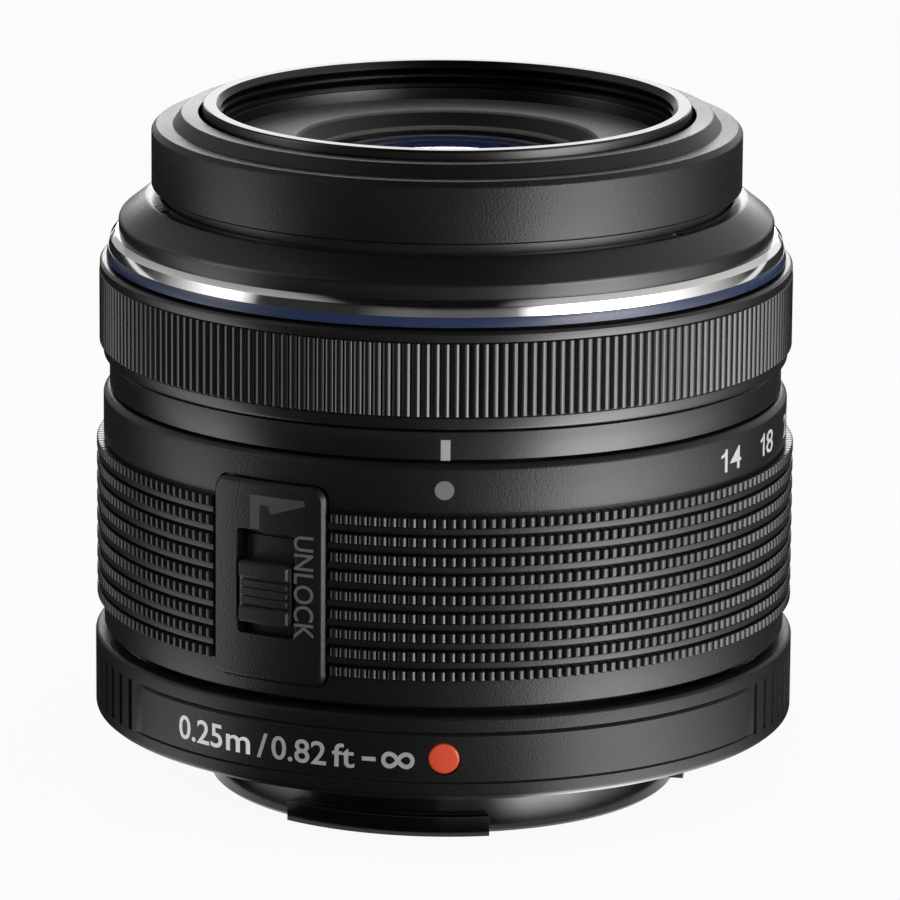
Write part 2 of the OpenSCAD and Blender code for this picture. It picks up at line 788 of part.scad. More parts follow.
module index_ring() {
    edge = 0.1;
    color("#282727") turned([
        [sleeve_ro + fit_gap, z_index0], [index_ro - edge, z_index0], [index_ro, z_index0 + edge],
        [index_ro, z_index1 - edge], [index_ro - edge, z_index1], [sleeve_ro + fit_gap, z_index1]]);
}

module blue_ring() {
    color("#2c3560") turned([
        [sleeve_ro + fit_gap, z_blue0], [trim_ro, z_blue0], [trim_ro - trim_lean, z_chrome0],
        [sleeve_ro + fit_gap, z_chrome0]]);
}

module chrome_ring() {
    foot = trim_ro - trim_lean - fit_gap;
    facet = foot - trim_lean;
    facet_h = 0.44;
    color("#c9c9cb") turned([
        [sleeve_ro + fit_gap, z_chrome0], [foot, z_chrome0], [facet, z_chrome1 - facet_h],
        [facet - facet_h, z_chrome1], [sleeve_ro + fit_gap, z_chrome1]]);
}

// Zoom ring, cam ring and lock

module zoom_ring() {
    rows = floor((zoom_h - zoom_band - zoom_low_band + row_pitch - row_h) / row_pitch);
    edge = 0.35;
    row_root = 0.3;
    pocket_corner = panel_corner + fit_gap;
    pawl_room = pawl_ro + 2 * slack;
    coil_room = 2 * (spring_r + spring_wire) + 3 * slack;
    color("#2a2928") difference() {
        union() {
            turned([[zoom_ri, z_zoom0], [zoom_ro - edge, z_zoom0], [zoom_ro, z_zoom0 + edge],
                    [zoom_ro, z_zoom1 - edge], [zoom_ro - edge, z_zoom1], [zoom_ri, z_zoom1]]);
            for (i = [0 : rows - 1])
                ring(zoom_ro - row_root, zoom_ro + row_stand, z_zoom1 - zoom_band - i * row_pitch - row_h,
                     z_zoom1 - zoom_band - i * row_pitch);
        }
        plate_on_ring(pocket_r, zoom_ro + row_stand + cut, lock_angle, panel_w + 2 * fit_gap,
                      z_panel0 - fit_gap, z_panel1 + fit_gap, pocket_corner);
        // Slit for the slider's stem and pocket for the pawl and its spring
        plate_on_ring(zoom_ri - cut, pocket_r + cut, lock_angle, stem_w + 2 * lock_gap,
                      z_stem0 - lock_gap, z_stem1 + lock_travel + lock_gap, small_corner);
        plate_on_ring(zoom_ri - cut, pawl_room, lock_angle, pawl_w + 2 * lock_gap,
                      z_zoom0 - cut, z_pawl1 + lock_travel + lock_gap, small_corner);
        plate_on_ring(zoom_ri - cut, pawl_room, lock_angle, coil_room, z_pawl1, z_spring1, small_corner);
        plate_on_ring(zoom_ri - cut, key_ro + fit_gap, 180, key_w + 2 * fit_gap,
                      z_cam0 - fit_gap, z_key1 + fit_gap, small_corner);
    }
}

module lock_panel() {
    color("#2d2c2b") difference() {
        plate_on_ring(pocket_r + fit_gap, panel_ro, lock_angle, panel_w, z_panel0, z_panel1, panel_corner);
        plate_on_ring(pocket_r - cut, panel_ro + cut, lock_angle, window_w, z_window0, z_window1,
                      window_corner);
    }
}

module lock_slider() {
    blocks = 3;
    block_gap = 0.7;
    block_h = (z_slider1 - z_slider0 - 2 * slack + block_gap) / blocks;
    block_stand = 0.35;
    groove_r = slider_ro - block_stand;
    color("#1d1d1d") {
        plate_on_ring(pocket_r + lock_gap / 2, groove_r, lock_angle, slider_w, z_slider0, z_slider1,
                      window_corner - slack);
        for (i = [0 : blocks - 1])
            plate_on_ring(groove_r - 2 * slack, slider_ro, lock_angle, slider_w - 3 * slack,
                          z_slider0 + slack + i * block_h, z_slider0 + slack + (i + 1) * block_h - block_gap,
                          small_corner);
        plate_on_ring(pawl_ro, pocket_r + lock_gap / 2 + 2 * slack, lock_angle, stem_w, z_stem0, z_stem1,
                      small_corner);
    }
}

module lock_pawl() {
    color("#9a9b9d") {
        plate_on_ring(pawl_ri, pawl_ro, lock_angle, pawl_w, z_pawl0, z_pawl1, small_corner);
        plate_on_ring(pawl_ri, pawl_ro, lock_angle, stem_w, z_pawl_tip, z_pawl0 + cut, small_corner / 2);
    }
}

// Closed coil of wire from z0 to z1, six-sided, round an upright axis
module lock_spring() {
    curls = 7;
    curl_rings = 8;
    rings = curls * curl_rings;
    sides = 6;
    rise = (z_spring1 - z_pawl1 - 2 * spring_wire) / rings;
    points = [for (i = [0 : rings], s = [0 : sides - 1])
        let (turn = i * 360 / curl_rings, side = s * 360 / sides, reach = spring_r + spring_wire * cos(side))
        [reach * cos(turn), reach * sin(turn), i * rise + spring_wire * sin(side)]];
    walls = [for (i = [0 : rings - 1], s = [0 : sides - 1])
        let (a = i * sides + s, b = i * sides + (s + 1) % sides)
        each [[a, a + sides, b], [b, a + sides, b + sides]]];
    ends = [for (s = [1 : sides - 2]) each [[0, s, s + 1],
        [rings * sides, rings * sides + s + 1, rings * sides + s]]];
    color("#b0b0b0") at(lock_angle, spring_at, z_pawl1 + spring_wire)
        polyhedron(points, concat(walls, ends));
}

module zoom_key() {
    color("#a7a8aa") plate_on_ring(cam_ri + slack, key_ro, 180, key_w, z_cam0, z_key1, small_corner);
}

module cam_ring() {
    color("#55565a") difference() {
        ring(cam_ri, cam_ro, z_cam0, z_cam1);
        for (a = FRONT_PINS) spiral_slot(a, z_front_pin, front_travel);
        for (a = SECOND_PINS) spiral_slot(a, z_second_pin, second_travel);
        plate_on_ring(cam_ri - cut, cam_ro + cut, 180, key_w + 2 * fit_gap,
                      z_cam0 - cut, z_key1 + fit_gap, small_corner);
    }
}

// Sliding front barrel and nose

module front_barrel() {
    z0 = z_front_pin - pin_root;
    z_slot_top = z_second_pin + slot_r;
    color("#252525") difference() {
        turned([[front_ri, z0], [front_ro, z0], [front_ro, z_nose], [front_ri, z_nose], [front_ri, z_disc],
                [disc_ri, z_disc], [disc_ri, z_decor0], [front_ri, z_decor0]]);
        for (a = FRONT_PINS) spoke(a, front_ri - cut, front_ro + cut, z_front_pin, pin_r);
        keyways(SECOND_PINS, front_ri, front_ro, z0 - cut, z_slot_top);
        for (a = FRONT_PINS)
            post(a, cell_screw_at, z_decor0 - cut, z_disc + cut, cell_screw_r + fit_gap);
    }
}

module front_pins() {
    color("#b5b6b8") for (a = FRONT_PINS) spoke(a, front_ri, pin_tip, z_front_pin, pin_r);
}

module front_cell() {
    seat_1 = lens_1_d / 2 + fit_gap;
    seat_2 = lens_2_d / 2 + fit_gap;
    color("#232324") difference() {
        turned([[seat_2 - cell_ledge, z_front_cell], [cell_ro, z_front_cell], [cell_ro, z_disc],
                [cell_flange_r, z_disc], [cell_flange_r, z_cell_top], [seat_1, z_cell_top],
                [seat_1, z_lens_1], [seat_2, z_lens_1], [seat_2, z_lens_2],
                [seat_2 - cell_ledge, z_lens_2]]);
        for (a = FRONT_PINS) post(a, cell_screw_at, z_disc - cut, z_cell_top + cut, cell_screw_r + fit_gap);
    }
}

module front_screws() {
    color("#8d8d90") for (a = FRONT_PINS)
        post(a, cell_screw_at, z_decor0 + 2 * slack, z_cell_top - fit_gap, cell_screw_r);
}

module lens_1() {
    color("#7f8fb0", 0.6) glass(lens_1_d, z_lens_1, lens_1_rim, lens_1_front, lens_1_back);
}

module lens_2() {
    color("#7f8fb0", 0.6) glass(lens_2_d, z_lens_2, lens_2_rim, lens_2_front, lens_2_back);
}

module beauty_ring() {
    inner = beauty_d / 2;
    brow_h = 1.5;
    edge = 0.15;
    foot = 3 * edge;
    z_top = z_cell_top + brow_h;
    color("#1a1a1c") turned([
        [well_r + foot, z_cell_top], [seat_r - fit_gap, z_cell_top], [seat_r - fit_gap, z_top - edge],
        [inner + 2 * edge, z_top], [inner, z_top], [well_r, z_cell_top + foot],
        [well_r, z_cell_top + 2 * edge]]);
}

module filter_ring() {
    edge = 0.15;
    flare = filter_d / 2 + slack;
    z_thread = z_rim - thread_depth;
    foot_t = 1.1;
    z_foot = z_disc + foot_t;
    foot_r = front_ri - slack;
    color("#4a4a4a") turned([
        [seat_r, z_disc], [foot_r, z_disc], [foot_r, z_foot], [rim_ro, z_foot],
        [rim_ro, z_rim - edge], [rim_ro - edge, z_rim], [flare, z_rim],
        [thread_minor_r, z_rim - (flare - thread_minor_r)], [thread_minor_r, z_thread],
        [seat_r, z_thread]]);
}

module decor_ring() {
    edge = 0.4;
    skirt_r = front_ro + fit_gap;
    lip_ro = decor_ri + lip_w;
    lip_lean = 0.6;
    color("#2c2b2a") turned([
        [skirt_r, z_decor0], [decor_ro - edge, z_decor0], [decor_ro - edge / 4, z_decor0 + edge / 4],
        [decor_ro, z_decor0 + edge], [decor_ro, z_face - edge], [decor_ro - edge, z_face],
        [lip_ro + lip_lean, z_face], [lip_ro, z_lip], [decor_ri, z_lip], [decor_ri, z_nose],
        [skirt_r, z_nose]]);
}

// Second lens group and iris

module second_cell() {
    six_seat = lens_6_d / 2 + fit_gap;
    ledge_ri = six_seat - cell_ledge;
    wall_ri = iris_r + slack;
    wall_ro = wall_ri + iris_wall;
    z_wall = z_cover + cover_t;
    z_ledge = z_second0 + six_depth;
    color("#262627") difference() {
        turned([[six_seat, z_second0], [pair_tube_r, z_second0], [pair_tube_r, z_disc2],
                [carriage_r, z_disc2], [carriage_r, z_iris], [wall_ro, z_iris], [wall_ro, z_wall],
                [wall_ri, z_wall], [wall_ri, z_iris], [pair_seat, z_iris], [pair_seat, z_pair - pair_t],
                [ledge_ri, z_pair - pair_t], [ledge_ri, z_ledge], [six_seat, z_ledge]]);
        for (a = SECOND_PINS) spoke(a, carriage_r - pin_root, carriage_r + cut, z_second_pin, pin_r);
    }
}

module second_pins() {
    color("#b5b6b8") for (a = SECOND_PINS) spoke(a, carriage_r - pin_root, pin_tip, z_second_pin, pin_r);
}

module lens_3() {
    color("#8fa7a0", 0.6) glass(lens_3_d, z_lens_3, lens_3_rim, lens_3_front, lens_3_back);
}

module lens_4() {
    color("#8fa7a0", 0.6) glass(pair_d, z_pair, lens_4_rim, lens_4_front, pair_face);
}

module lens_5() {
    cement = 0.02;
    color("#8fa7a0", 0.6) glass(pair_d, z_pair - pair_t, pair_t - cement, -pair_face, 0);
}

module lens_6() {
    color("#8fa7a0", 0.6) glass(lens_6_d, z_second0 + 2 * slack, lens_6_rim, 0, lens_6_back);
}

module iris_base() {
    color("#1c1c1d") difference() {
        ring(iris_open_d / 2, iris_r, z_iris, z_iris + iris_base_t);
        for (i = [0 : blade_count - 1])
            post(i * 360 / blade_count + 90, pivot_r, z_iris - cut, z_iris + iris_base_t + cut,
                 pivot_pin_r + fit_gap);
    }
}

module iris_cover() {
    seat = lens_3_d / 2 + fit_gap;
    z_top = z_cover + cover_t;
    color("#1f1f20") turned([
        [iris_open_d / 2, z_cover], [iris_r, z_cover], [iris_r, z_top], [seat + cell_wall, z_top],
        [seat + cell_wall, z_top + cover_collar], [seat, z_top + cover_collar], [seat, z_top + cover_ledge],
        [iris_open_d / 2, z_top + cover_ledge]]);
}

module iris_motor() {
    color("#8f9194") post(0, (pair_tube_r + carriage_r) / 2, z_disc2 - iris_motor_h, z_disc2, iris_motor_r);
}

// Where a blade's drive pin is, at a share of its turn, in the iris ring's own frame
function drive_place(share) =
    let (reach = pivot_r * [cos(drive_angle) - 1, sin(drive_angle)],
         b = blade_turn * share,
         x = pivot_r + reach[0] * cos(b) - reach[1] * sin(b),
         y = reach[0] * sin(b) + reach[1] * cos(b),
         g = -iris_turn * share)
    [x * cos(g) - y * sin(g), x * sin(g) + y * cos(g)];

module iris_ring() {
    steps = 10;
    half = drive_pin_r + pin_gap;
    over = 0.1;
    shares = [for (i = [0 : steps]) i / steps * (1 + 2 * over) - over];
    path = [for (s = shares) drive_place(s)];
    sides = [for (s = shares)
        let (along = drive_place(s + over / 10) - drive_place(s - over / 10))
        [-along[1], along[0]] / norm(along) * half];
    color("#77787b") difference() {
        ring(blade_ro + run_gap, iris_r - run_gap, z_iris_ring, z_iris_ring + iris_ring_t);
        for (i = [0 : blade_count - 1])
            rotate([0, 0, i * 360 / blade_count]) translate([0, 0, z_iris_ring - cut])
                linear_extrude(iris_ring_t + 2 * cut)
                    polygon(concat([for (k = [0 : steps]) path[k] + sides[k]],
                                   [for (k = [steps : -1 : 0]) path[k] - sides[k]]));
    }
}

module iris_blade(i) {
    z = z_blade0 + i * blade_rise;
    z_mid = z + blade_t / 2;
    span = 95;
    end = 4;
    ear = pivot_pin_r + cut;
    color("#3b3b3e") rotate([0, 0, i * 360 / blade_count + 90]) {
        sector(blade_ri, blade_ro, -end, span, z, z + blade_t);
        sector(blade_ro - cut, pivot_r + ear, -end, drive_angle + end, z, z + blade_t);
        post(0, pivot_r, z_iris + fit_gap, z_mid, pivot_pin_r);
        post(drive_angle, pivot_r, z_mid, z_iris_ring + iris_ring_t, drive_pin_r);
    }
}

// Focus ring and focus cell

module focus_ring() {
    edge = 0.1;
    brow_h = 0.6;
    rib_end = 1;
    rib_step = 0.04;
    z_rib0 = z_focus0 + rib_end;
    z_rib1 = z_focus1 - rib_end;
    tip_share = 0.44;
    root_share = 0.54;
    tip = 360 / focus_ribs * tip_share / 2;
    root = 360 / focus_ribs * root_share / 2;
    rib_ro = focus_ro + rib_h;
    color("#2a2928") difference() {
        union() {
            turned([[focus_ri, z_focus0], [focus_ro - edge, z_focus0], [focus_ro, z_focus0 + edge],
                    [focus_ro, z_rib1 - rib_step], [rib_ro, z_rib1 - rib_step], [rib_ro, z_focus1 - brow_h],
                    [focus_ro, z_focus1], [focus_ri, z_focus1]]);
            translate([0, 0, z_rib0]) linear_extrude(z_rib1 - z_rib0) difference() {
                polygon([for (i = [0 : focus_ribs - 1], c = [[-root, 0], [-tip, 1], [tip, 1], [root, 0]])
                    let (a = i * 360 / focus_ribs + c[0], r = focus_ro - rib_step + c[1] * rib_h)
                    r * [cos(a), sin(a)]]);
                circle(focus_ri + focus_wall / 4);
            }
        }
        // Seat of the comb
        ring(focus_ri - cut, comb_ro + fit_gap, z_sensor0 - comb_over, z_sensor1 + comb_over);
    }
}

module focus_comb() {
    teeth = 60;
    tooth = 0.2;
    color("#101011") translate([0, 0, z_sensor0 - comb_over + fit_gap])
        linear_extrude(sensor_h + 2 * (comb_over - fit_gap)) difference() {
            circle(comb_ro, $fn = 360);
            polygon([for (i = [0 : teeth - 1], c = [[0, 0], [0.5, 0], [0.5, 1], [1, 1]])
                let (a = (i + c[0]) * 360 / teeth)
                (comb_ro - comb_t + c[1] * tooth) * [cos(a), sin(a)]]);
        }
}

module focus_cell() {
    seat = focus_lens_d / 2 + fit_gap;
    cell_r = seat + cell_wall;
    sleeve_r = rod_r + rod_sleeve_wall;
    arm = 2 * sleeve_r - slack;
    z_mid = z_focus_cell + focus_cell_h / 2;
    color("#262627") difference() {
        union() {
            ring(seat - cell_ledge, cell_r, z_focus_cell, z_focus_cell + focus_cell_h);
            for (a = concat(RODS, [lead_angle])) {
                post(a, drive_at, z_mid - sleeve_h / 2, z_mid + sleeve_h / 2, sleeve_r);
                at(a, drive_at, z_focus_cell) translate([-arm / 2, 0, 0])
                    cube([arm, drive_at - cell_r + cell_wall / 2, focus_cell_h]);
            }
        }
        translate([0, 0, z_focus_cell + focus_ledge]) cylinder(r = seat, h = focus_cell_h);
        for (a = RODS) post(a, drive_at, z_mid - sleeve_h, z_mid + sleeve_h, rod_r + fit_gap);
        post(lead_angle, drive_at, z_mid - sleeve_h, z_mid + sleeve_h, lead_r + fit_gap);
    }
}

module focus_lens() {
    color("#8fa7a0", 0.6)
        glass(focus_lens_d, z_focus_cell + focus_ledge + fit_gap, focus_lens_rim, focus_lens_front, 0);
}

mount_plate();
mount_screws();
contact_block();
contact_pins();
rear_baffle();
rear_cell();
rear_lens();
guide_rods();
focus_motor();
main_board();
base_ring();
index_dot();
fixed_barrel();
index_ring();
focus_sleeve();
focus_sensor();
blue_ring();
chrome_ring();
front_shoulder();
shoulder_screws();
light_seal();
zoom_ring();
lock_panel();
lock_spring();
cam_ring();
zoom_key();
lock_slider();
lock_pawl();
front_barrel();
front_pins();
front_cell();
front_screws();
lens_1();
lens_2();
beauty_ring();
filter_ring();
decor_ring();
second_cell();
second_pins();
lens_3();
lens_4();
lens_5();
lens_6();
iris_base();
iris_cover();
iris_motor();
iris_ring();
focus_ring();
focus_comb();
lead_screw();
focus_cell();
focus_lens();
for (i = [0 : blade_count - 1])
    iris_blade(i);
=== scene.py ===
# %% [markdown]
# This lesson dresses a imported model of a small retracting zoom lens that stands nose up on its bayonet.
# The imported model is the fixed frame: every new piece is built round it, in metres, in the same place.
# We load it first and remember its box, because the finished lens may not grow out of that box.

# %% Load the frame
import json
import math

import bpy
from mathutils import Matrix, Vector


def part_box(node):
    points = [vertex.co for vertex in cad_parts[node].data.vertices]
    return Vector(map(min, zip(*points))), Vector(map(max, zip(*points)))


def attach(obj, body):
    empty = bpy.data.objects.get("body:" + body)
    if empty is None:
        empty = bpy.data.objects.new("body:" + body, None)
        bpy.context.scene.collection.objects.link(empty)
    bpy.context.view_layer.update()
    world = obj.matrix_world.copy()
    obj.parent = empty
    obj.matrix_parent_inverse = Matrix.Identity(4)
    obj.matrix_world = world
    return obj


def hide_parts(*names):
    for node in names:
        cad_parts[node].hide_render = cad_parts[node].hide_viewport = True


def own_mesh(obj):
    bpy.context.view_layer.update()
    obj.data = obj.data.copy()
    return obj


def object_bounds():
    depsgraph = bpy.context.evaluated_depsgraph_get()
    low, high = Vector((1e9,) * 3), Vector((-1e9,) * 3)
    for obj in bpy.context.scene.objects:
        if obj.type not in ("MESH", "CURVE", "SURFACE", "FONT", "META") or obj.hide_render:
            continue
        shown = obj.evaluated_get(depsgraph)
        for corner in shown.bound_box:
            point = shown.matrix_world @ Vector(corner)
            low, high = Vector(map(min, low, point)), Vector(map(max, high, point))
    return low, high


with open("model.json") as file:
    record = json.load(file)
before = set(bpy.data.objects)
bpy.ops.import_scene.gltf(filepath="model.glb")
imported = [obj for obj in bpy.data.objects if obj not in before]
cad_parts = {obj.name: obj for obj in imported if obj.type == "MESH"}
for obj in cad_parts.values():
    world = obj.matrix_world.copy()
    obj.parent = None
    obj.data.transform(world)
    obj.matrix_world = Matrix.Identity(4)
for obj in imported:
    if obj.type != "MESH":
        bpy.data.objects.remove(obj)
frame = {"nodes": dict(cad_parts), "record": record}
cad_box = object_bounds()
MM = 0.001
print("frame box in mm:", [round(c / MM, 2) for corner in cad_box for c in corner])

# %% [markdown]
# The camera stands in front of the lens, a little above it, with a long focal length.
# A long lens far away keeps the ellipses of the rings flat, as in a catalogue picture.
# The place, tilt and focal length are set once and everything else is judged through this view.

# %% Camera
PICTURE_PX = 900
FOCAL_PX = 6989.4
SENSOR_MM = 36
CAMERA_AT = Vector((0, -549.1, 156.1)) * MM
CAMERA_TURN = 0.00076
CAMERA_TILT = 0.2405
CAMERA_ROLL = 0.0078

bpy.ops.object.select_all(action="DESELECT")
bpy.ops.object.camera_add()
camera = bpy.context.object
camera.name = "front_camera"
camera.data.sensor_width = SENSOR_MM
camera.data.lens = FOCAL_PX * SENSOR_MM / PICTURE_PX
camera.data.clip_end = 20
camera.matrix_world = (
    Matrix.Translation(CAMERA_AT)
    @ Matrix.Rotation(-CAMERA_TURN, 4, "Z")
    @ Matrix.Rotation(math.pi / 2 - CAMERA_TILT, 4, "X")
    @ Matrix.Rotation(CAMERA_ROLL, 4, "Z")
)
bpy.context.scene.camera = camera
bpy.context.scene.view_settings.view_transform = "Standard"
print("camera lens in mm:", round(camera.data.lens, 1))

# %% [markdown]
# Nearly every piece of a lens barrel is turned, so one helper does what a lathe does.
# It sketches half a section as a flat polygon in the X-Z plane, rounds its corners with a vertex bevel,
# and spins the outline about the optical axis. Drawing whole circles and bridging them would work too,
# but a section shows at once where every edge of the real ring is.

# %% Sketch and lathe helpers
ROUND_STEPS = 3
LATHE_STEPS = 256
SMOOTH_ANGLE = math.radians(32)
NEAR = 1e-7


def select_only(piece):
    bpy.ops.object.select_all(action="DESELECT")
    piece.select_set(True)
    bpy.context.view_layer.objects.active = piece


def sketch(name, corners):
    """A filled polygon in the X-Z plane, left in edit mode. A third number in a corner rounds it."""
    bpy.ops.object.select_all(action="DESELECT")
    bpy.ops.mesh.primitive_circle_add(vertices=len(corners), fill_type="NGON", location=(0, 0, 0))
    piece = bpy.context.object
    piece.name = name
    for vertex, corner in zip(piece.data.vertices, corners):
        vertex.co = (corner[0] * MM, 0, corner[1] * MM)
    for radius in sorted({corner[2] for corner in corners if len(corner) > 2}):
        spots = [Vector((c[0], 0, c[1])) * MM for c in corners if len(c) > 2 and c[2] == radius]
        bpy.ops.object.mode_set(mode="EDIT")
        bpy.ops.mesh.select_mode(type="VERT")
        bpy.ops.mesh.select_all(action="DESELECT")
        bpy.ops.object.mode_set(mode="OBJECT")
        for vertex in piece.data.vertices:
            vertex.select = any((vertex.co - spot).length < NEAR for spot in spots)
        bpy.ops.object.mode_set(mode="EDIT")
        bpy.ops.mesh.bevel(offset=radius * MM, segments=ROUND_STEPS, affect="VERTICES")
        bpy.ops.object.mode_set(mode="OBJECT")
    bpy.ops.object.mode_set(mode="EDIT")
    bpy.ops.mesh.select_all(action="SELECT")
    return piece


def close_up(piece):
    """Merge what meets, drop loose bits, turn the faces outwards and smooth the round ones."""
    bpy.ops.object.mode_set(mode="EDIT")
    bpy.ops.mesh.select_all(action="SELECT")
    bpy.ops.mesh.remove_doubles(threshold=NEAR)
    bpy.ops.mesh.delete_loose()
    bpy.ops.mesh.select_all(action="SELECT")
    bpy.ops.mesh.normals_make_consistent(inside=False)
    bpy.ops.object.mode_set(mode="OBJECT")
    select_only(piece)
    bpy.ops.object.shade_smooth_by_angle(angle=SMOOTH_ANGLE)
    return piece


def lathe(name, corners, steps=LATHE_STEPS):
    """Turn a section, given as radius and height in mm, into a closed ring."""
    piece = sketch(name, corners)
    bpy.ops.mesh.delete(type="ONLY_FACE")
    bpy.ops.mesh.select_all(action="SELECT")
    bpy.ops.mesh.spin(steps=steps, angle=2 * math.pi, center=(0, 0, 0), axis=(0, 0, 1))
    return close_up(piece)


print("a turned piece has", LATHE_STEPS, "steps")

# %% [markdown]
# The studio: softboxes on the right and the left, and a large soft fill above the camera. The fill is hidden
# from reflections, so it lights paint and print without a glare on the black barrel.

# %% Softboxes
FLOOR_Z = cad_box[0].z
AIM = Vector((0, 0, 24)) * MM


def around(azimuth, distance, height):
    """A point round the lens. Azimuth 0 is the camera's side and grows to the right."""
    turn = math.radians(azimuth)
    return Vector((math.sin(turn) * distance, -math.cos(turn) * distance, height))


def softbox(name, azimuth, distance, height, width, tall, radiance, mirrored=True):
    spot = around(azimuth, distance, height)
    bpy.ops.object.select_all(action="DESELECT")
    bpy.ops.object.light_add(type="AREA", location=spot)
    lamp = bpy.context.object
    lamp.name = name
    lamp.data.shape = "RECTANGLE"
    lamp.data.size = width
    lamp.data.size_y = tall
    lamp.data.energy = radiance * math.pi * width * tall
    lamp.rotation_euler = (AIM - spot).to_track_quat("-Z", "Y").to_euler()
    lamp.visible_glossy = mirrored
    print(name, "gives", round(lamp.data.energy, 2), "W")


softbox("key_softbox", azimuth=57, distance=0.70, height=0.34, width=0.34, tall=0.36, radiance=1.9)
softbox("left_softbox", azimuth=-86, distance=0.70, height=0.34, width=0.28, tall=0.36, radiance=1.8)
softbox("front_fill", azimuth=-8, distance=0.80, height=0.62, width=0.80, tall=0.80, radiance=2.2,
        mirrored=False)

# %% [markdown]
# The light of the room and all finishes are trees of shader nodes. Wiring them by hand takes many lines, so
# a few helpers add a node, set its inputs, and ramp or combine values. The room's brightness is read off
# lists of stops, because a list is easier to change than a row of lamps.

# %% Node helpers
PEAK = 9.0


def new_node(tree, kind, **settings):
    node = tree.nodes.new("ShaderNode" + kind)
    for name, value in settings.items():
        setattr(node, name, value)
    return node


def set_inputs(node, **values):
    for name, value in values.items():
        node.inputs[name.replace("_", " ")].default_value = value
    return node


def graded(tree, value, low, high, start, end):
    """Ramp a value between two limits from a start to an end."""
    ramp = set_inputs(new_node(tree, "MapRange"), From_Min=low, From_Max=high, To_Min=start, To_Max=end)
    tree.links.new(value, ramp.inputs["Value"])
    return ramp.outputs["Result"]


def combined(tree, operation, first, second):
    node = new_node(tree, "Math", operation=operation)
    for socket, value in zip(node.inputs, (first, second)):
        if isinstance(value, float):
            socket.default_value = value
        else:
            tree.links.new(value, socket)
    return node.outputs[0]


def turn_of(tree, vector):
    """The direction of a vector round the axis, from 0 behind through 0.5 at the camera to 1 behind."""
    quarter = set_inputs(new_node(tree, "Mapping"), Rotation=(0, 0, math.pi / 2))
    circle = new_node(tree, "TexGradient", gradient_type="RADIAL")
    tree.links.new(vector, quarter.inputs["Vector"])
    tree.links.new(quarter.outputs["Vector"], circle.inputs["Vector"])
    return circle.outputs["Fac"]


def ramped(tree, value, stops):
    """Read a brightness off a list of stops, each a place from 0 to 1 and its brightness."""
    ramp = new_node(tree, "ValToRGB")
    marks = ramp.color_ramp.elements
    while len(marks) < len(stops):
        marks.new(0.5)
    for mark, (place, glow) in zip(marks, stops):
        mark.position = place
        mark.color = (glow / PEAK, glow / PEAK, glow / PEAK, 1)
    tree.links.new(value, ramp.inputs["Fac"])
    return combined(tree, "MULTIPLY", ramp.outputs["Color"], PEAK)


def planned_glow(tree, turn, plan):
    """Read a brightness off a plan of directions in degrees."""
    return ramped(tree, turn, [(azimuth / 360 + 0.5, glow) for azimuth, glow in plan])


print("brightest stop:", PEAK)

# %% [markdown]
# A black barrel shows little but what it mirrors, so the room is planned like a light tent, with strips of
# white and black cloth. The plan lists directions in degrees, 0 at the camera and growing to the right,
# each with its brightness. Above the strips hang pale panels at both sides, and a white wall stands behind
# with one window above it. The ceiling and the front stay dark, so that sloping faces keep their depth.

# %% Lighting plan
ROOM_PLAN = [
    (-180, 0.02), (-124, 0.02), (-112, 0.13), (-100, 0.60), (-92, 1.1), (-80, 1.8), (-73, 1.4), (-66, 0.03),
    (-30, 0.03), (-20, 0.14), (-12, 0.16), (0, 0.12), (16, 0.14), (24, 0.25), (30, 2.0), (42, 9.0),
    (64, 9.0), (76, 4.2), (84, 1.4), (96, 0.8), (112, 0.3), (124, 0.03), (180, 0.02)]
PANELS = [(0, 0.75), (0.19, 0.42), (0.27, 0.28), (0.32, 0), (0.60, 0), (0.67, 0.52), (0.80, 0.66), (1, 0.8)]
BACK_PLAN = [
    (-180, 4.2), (-168, 4.2), (-161, 0.5), (-130, 0.4), (-120, 0), (120, 0), (130, 0.9), (161, 1.0),
    (168, 4.2), (180, 4.2)]
WINDOW_GLOW = 4.2
CEILING_GLOW = 0.006
STRIP_TOP = 0.24
STRIP_SOFT = 0.04
FRONT_OPENING = (-0.55, -0.20)
WINDOW_DEPTH = (0.60, 0.74)
WINDOW_HALF = (0.05, 0.11)
WALL_FOOT = (0.02, 0.07)

room = bpy.data.worlds.new("studio_room")
bpy.context.scene.world = room
room.use_nodes = True
tree = room.node_tree
look = new_node(tree, "TexCoord").outputs["Generated"]
parts = new_node(tree, "SeparateXYZ")
tree.links.new(look, parts.inputs["Vector"])
aside = graded(tree, parts.outputs["X"], -1, 1, 0, 1)
not_front = graded(tree, parts.outputs["Y"], *FRONT_OPENING, 0, 1)
panels = combined(tree, "MULTIPLY", ramped(tree, aside, PANELS), not_front)
behind = graded(tree, parts.outputs["Y"], *WINDOW_DEPTH, 0, 1)
off_middle = combined(tree, "ABSOLUTE", parts.outputs["X"], 0.0)
middle = graded(tree, off_middle, *WINDOW_HALF, WINDOW_GLOW, 0)
back_window = combined(tree, "MULTIPLY", middle, behind)
upper = combined(tree, "ADD", combined(tree, "MAXIMUM", panels, back_window), CEILING_GLOW)
above_table = graded(tree, parts.outputs["Z"], *WALL_FOOT, 0, 1)
back_wall = combined(tree, "MULTIPLY", planned_glow(tree, turn_of(tree, look), BACK_PLAN), above_table)
lower = combined(tree, "MAXIMUM", planned_glow(tree, turn_of(tree, look), ROOM_PLAN), back_wall)
low = graded(tree, parts.outputs["Z"], STRIP_TOP, STRIP_TOP + STRIP_SOFT, 1, 0)
high = graded(tree, parts.outputs["Z"], STRIP_TOP, STRIP_TOP + STRIP_SOFT, 0, 1)
glow = combined(tree, "ADD", combined(tree, "MULTIPLY", lower, low), combined(tree, "MULTIPLY", upper, high))
tree.links.new(glow, tree.nodes["Background"].inputs["Color"])
print("light strips:", len(ROOM_PLAN))

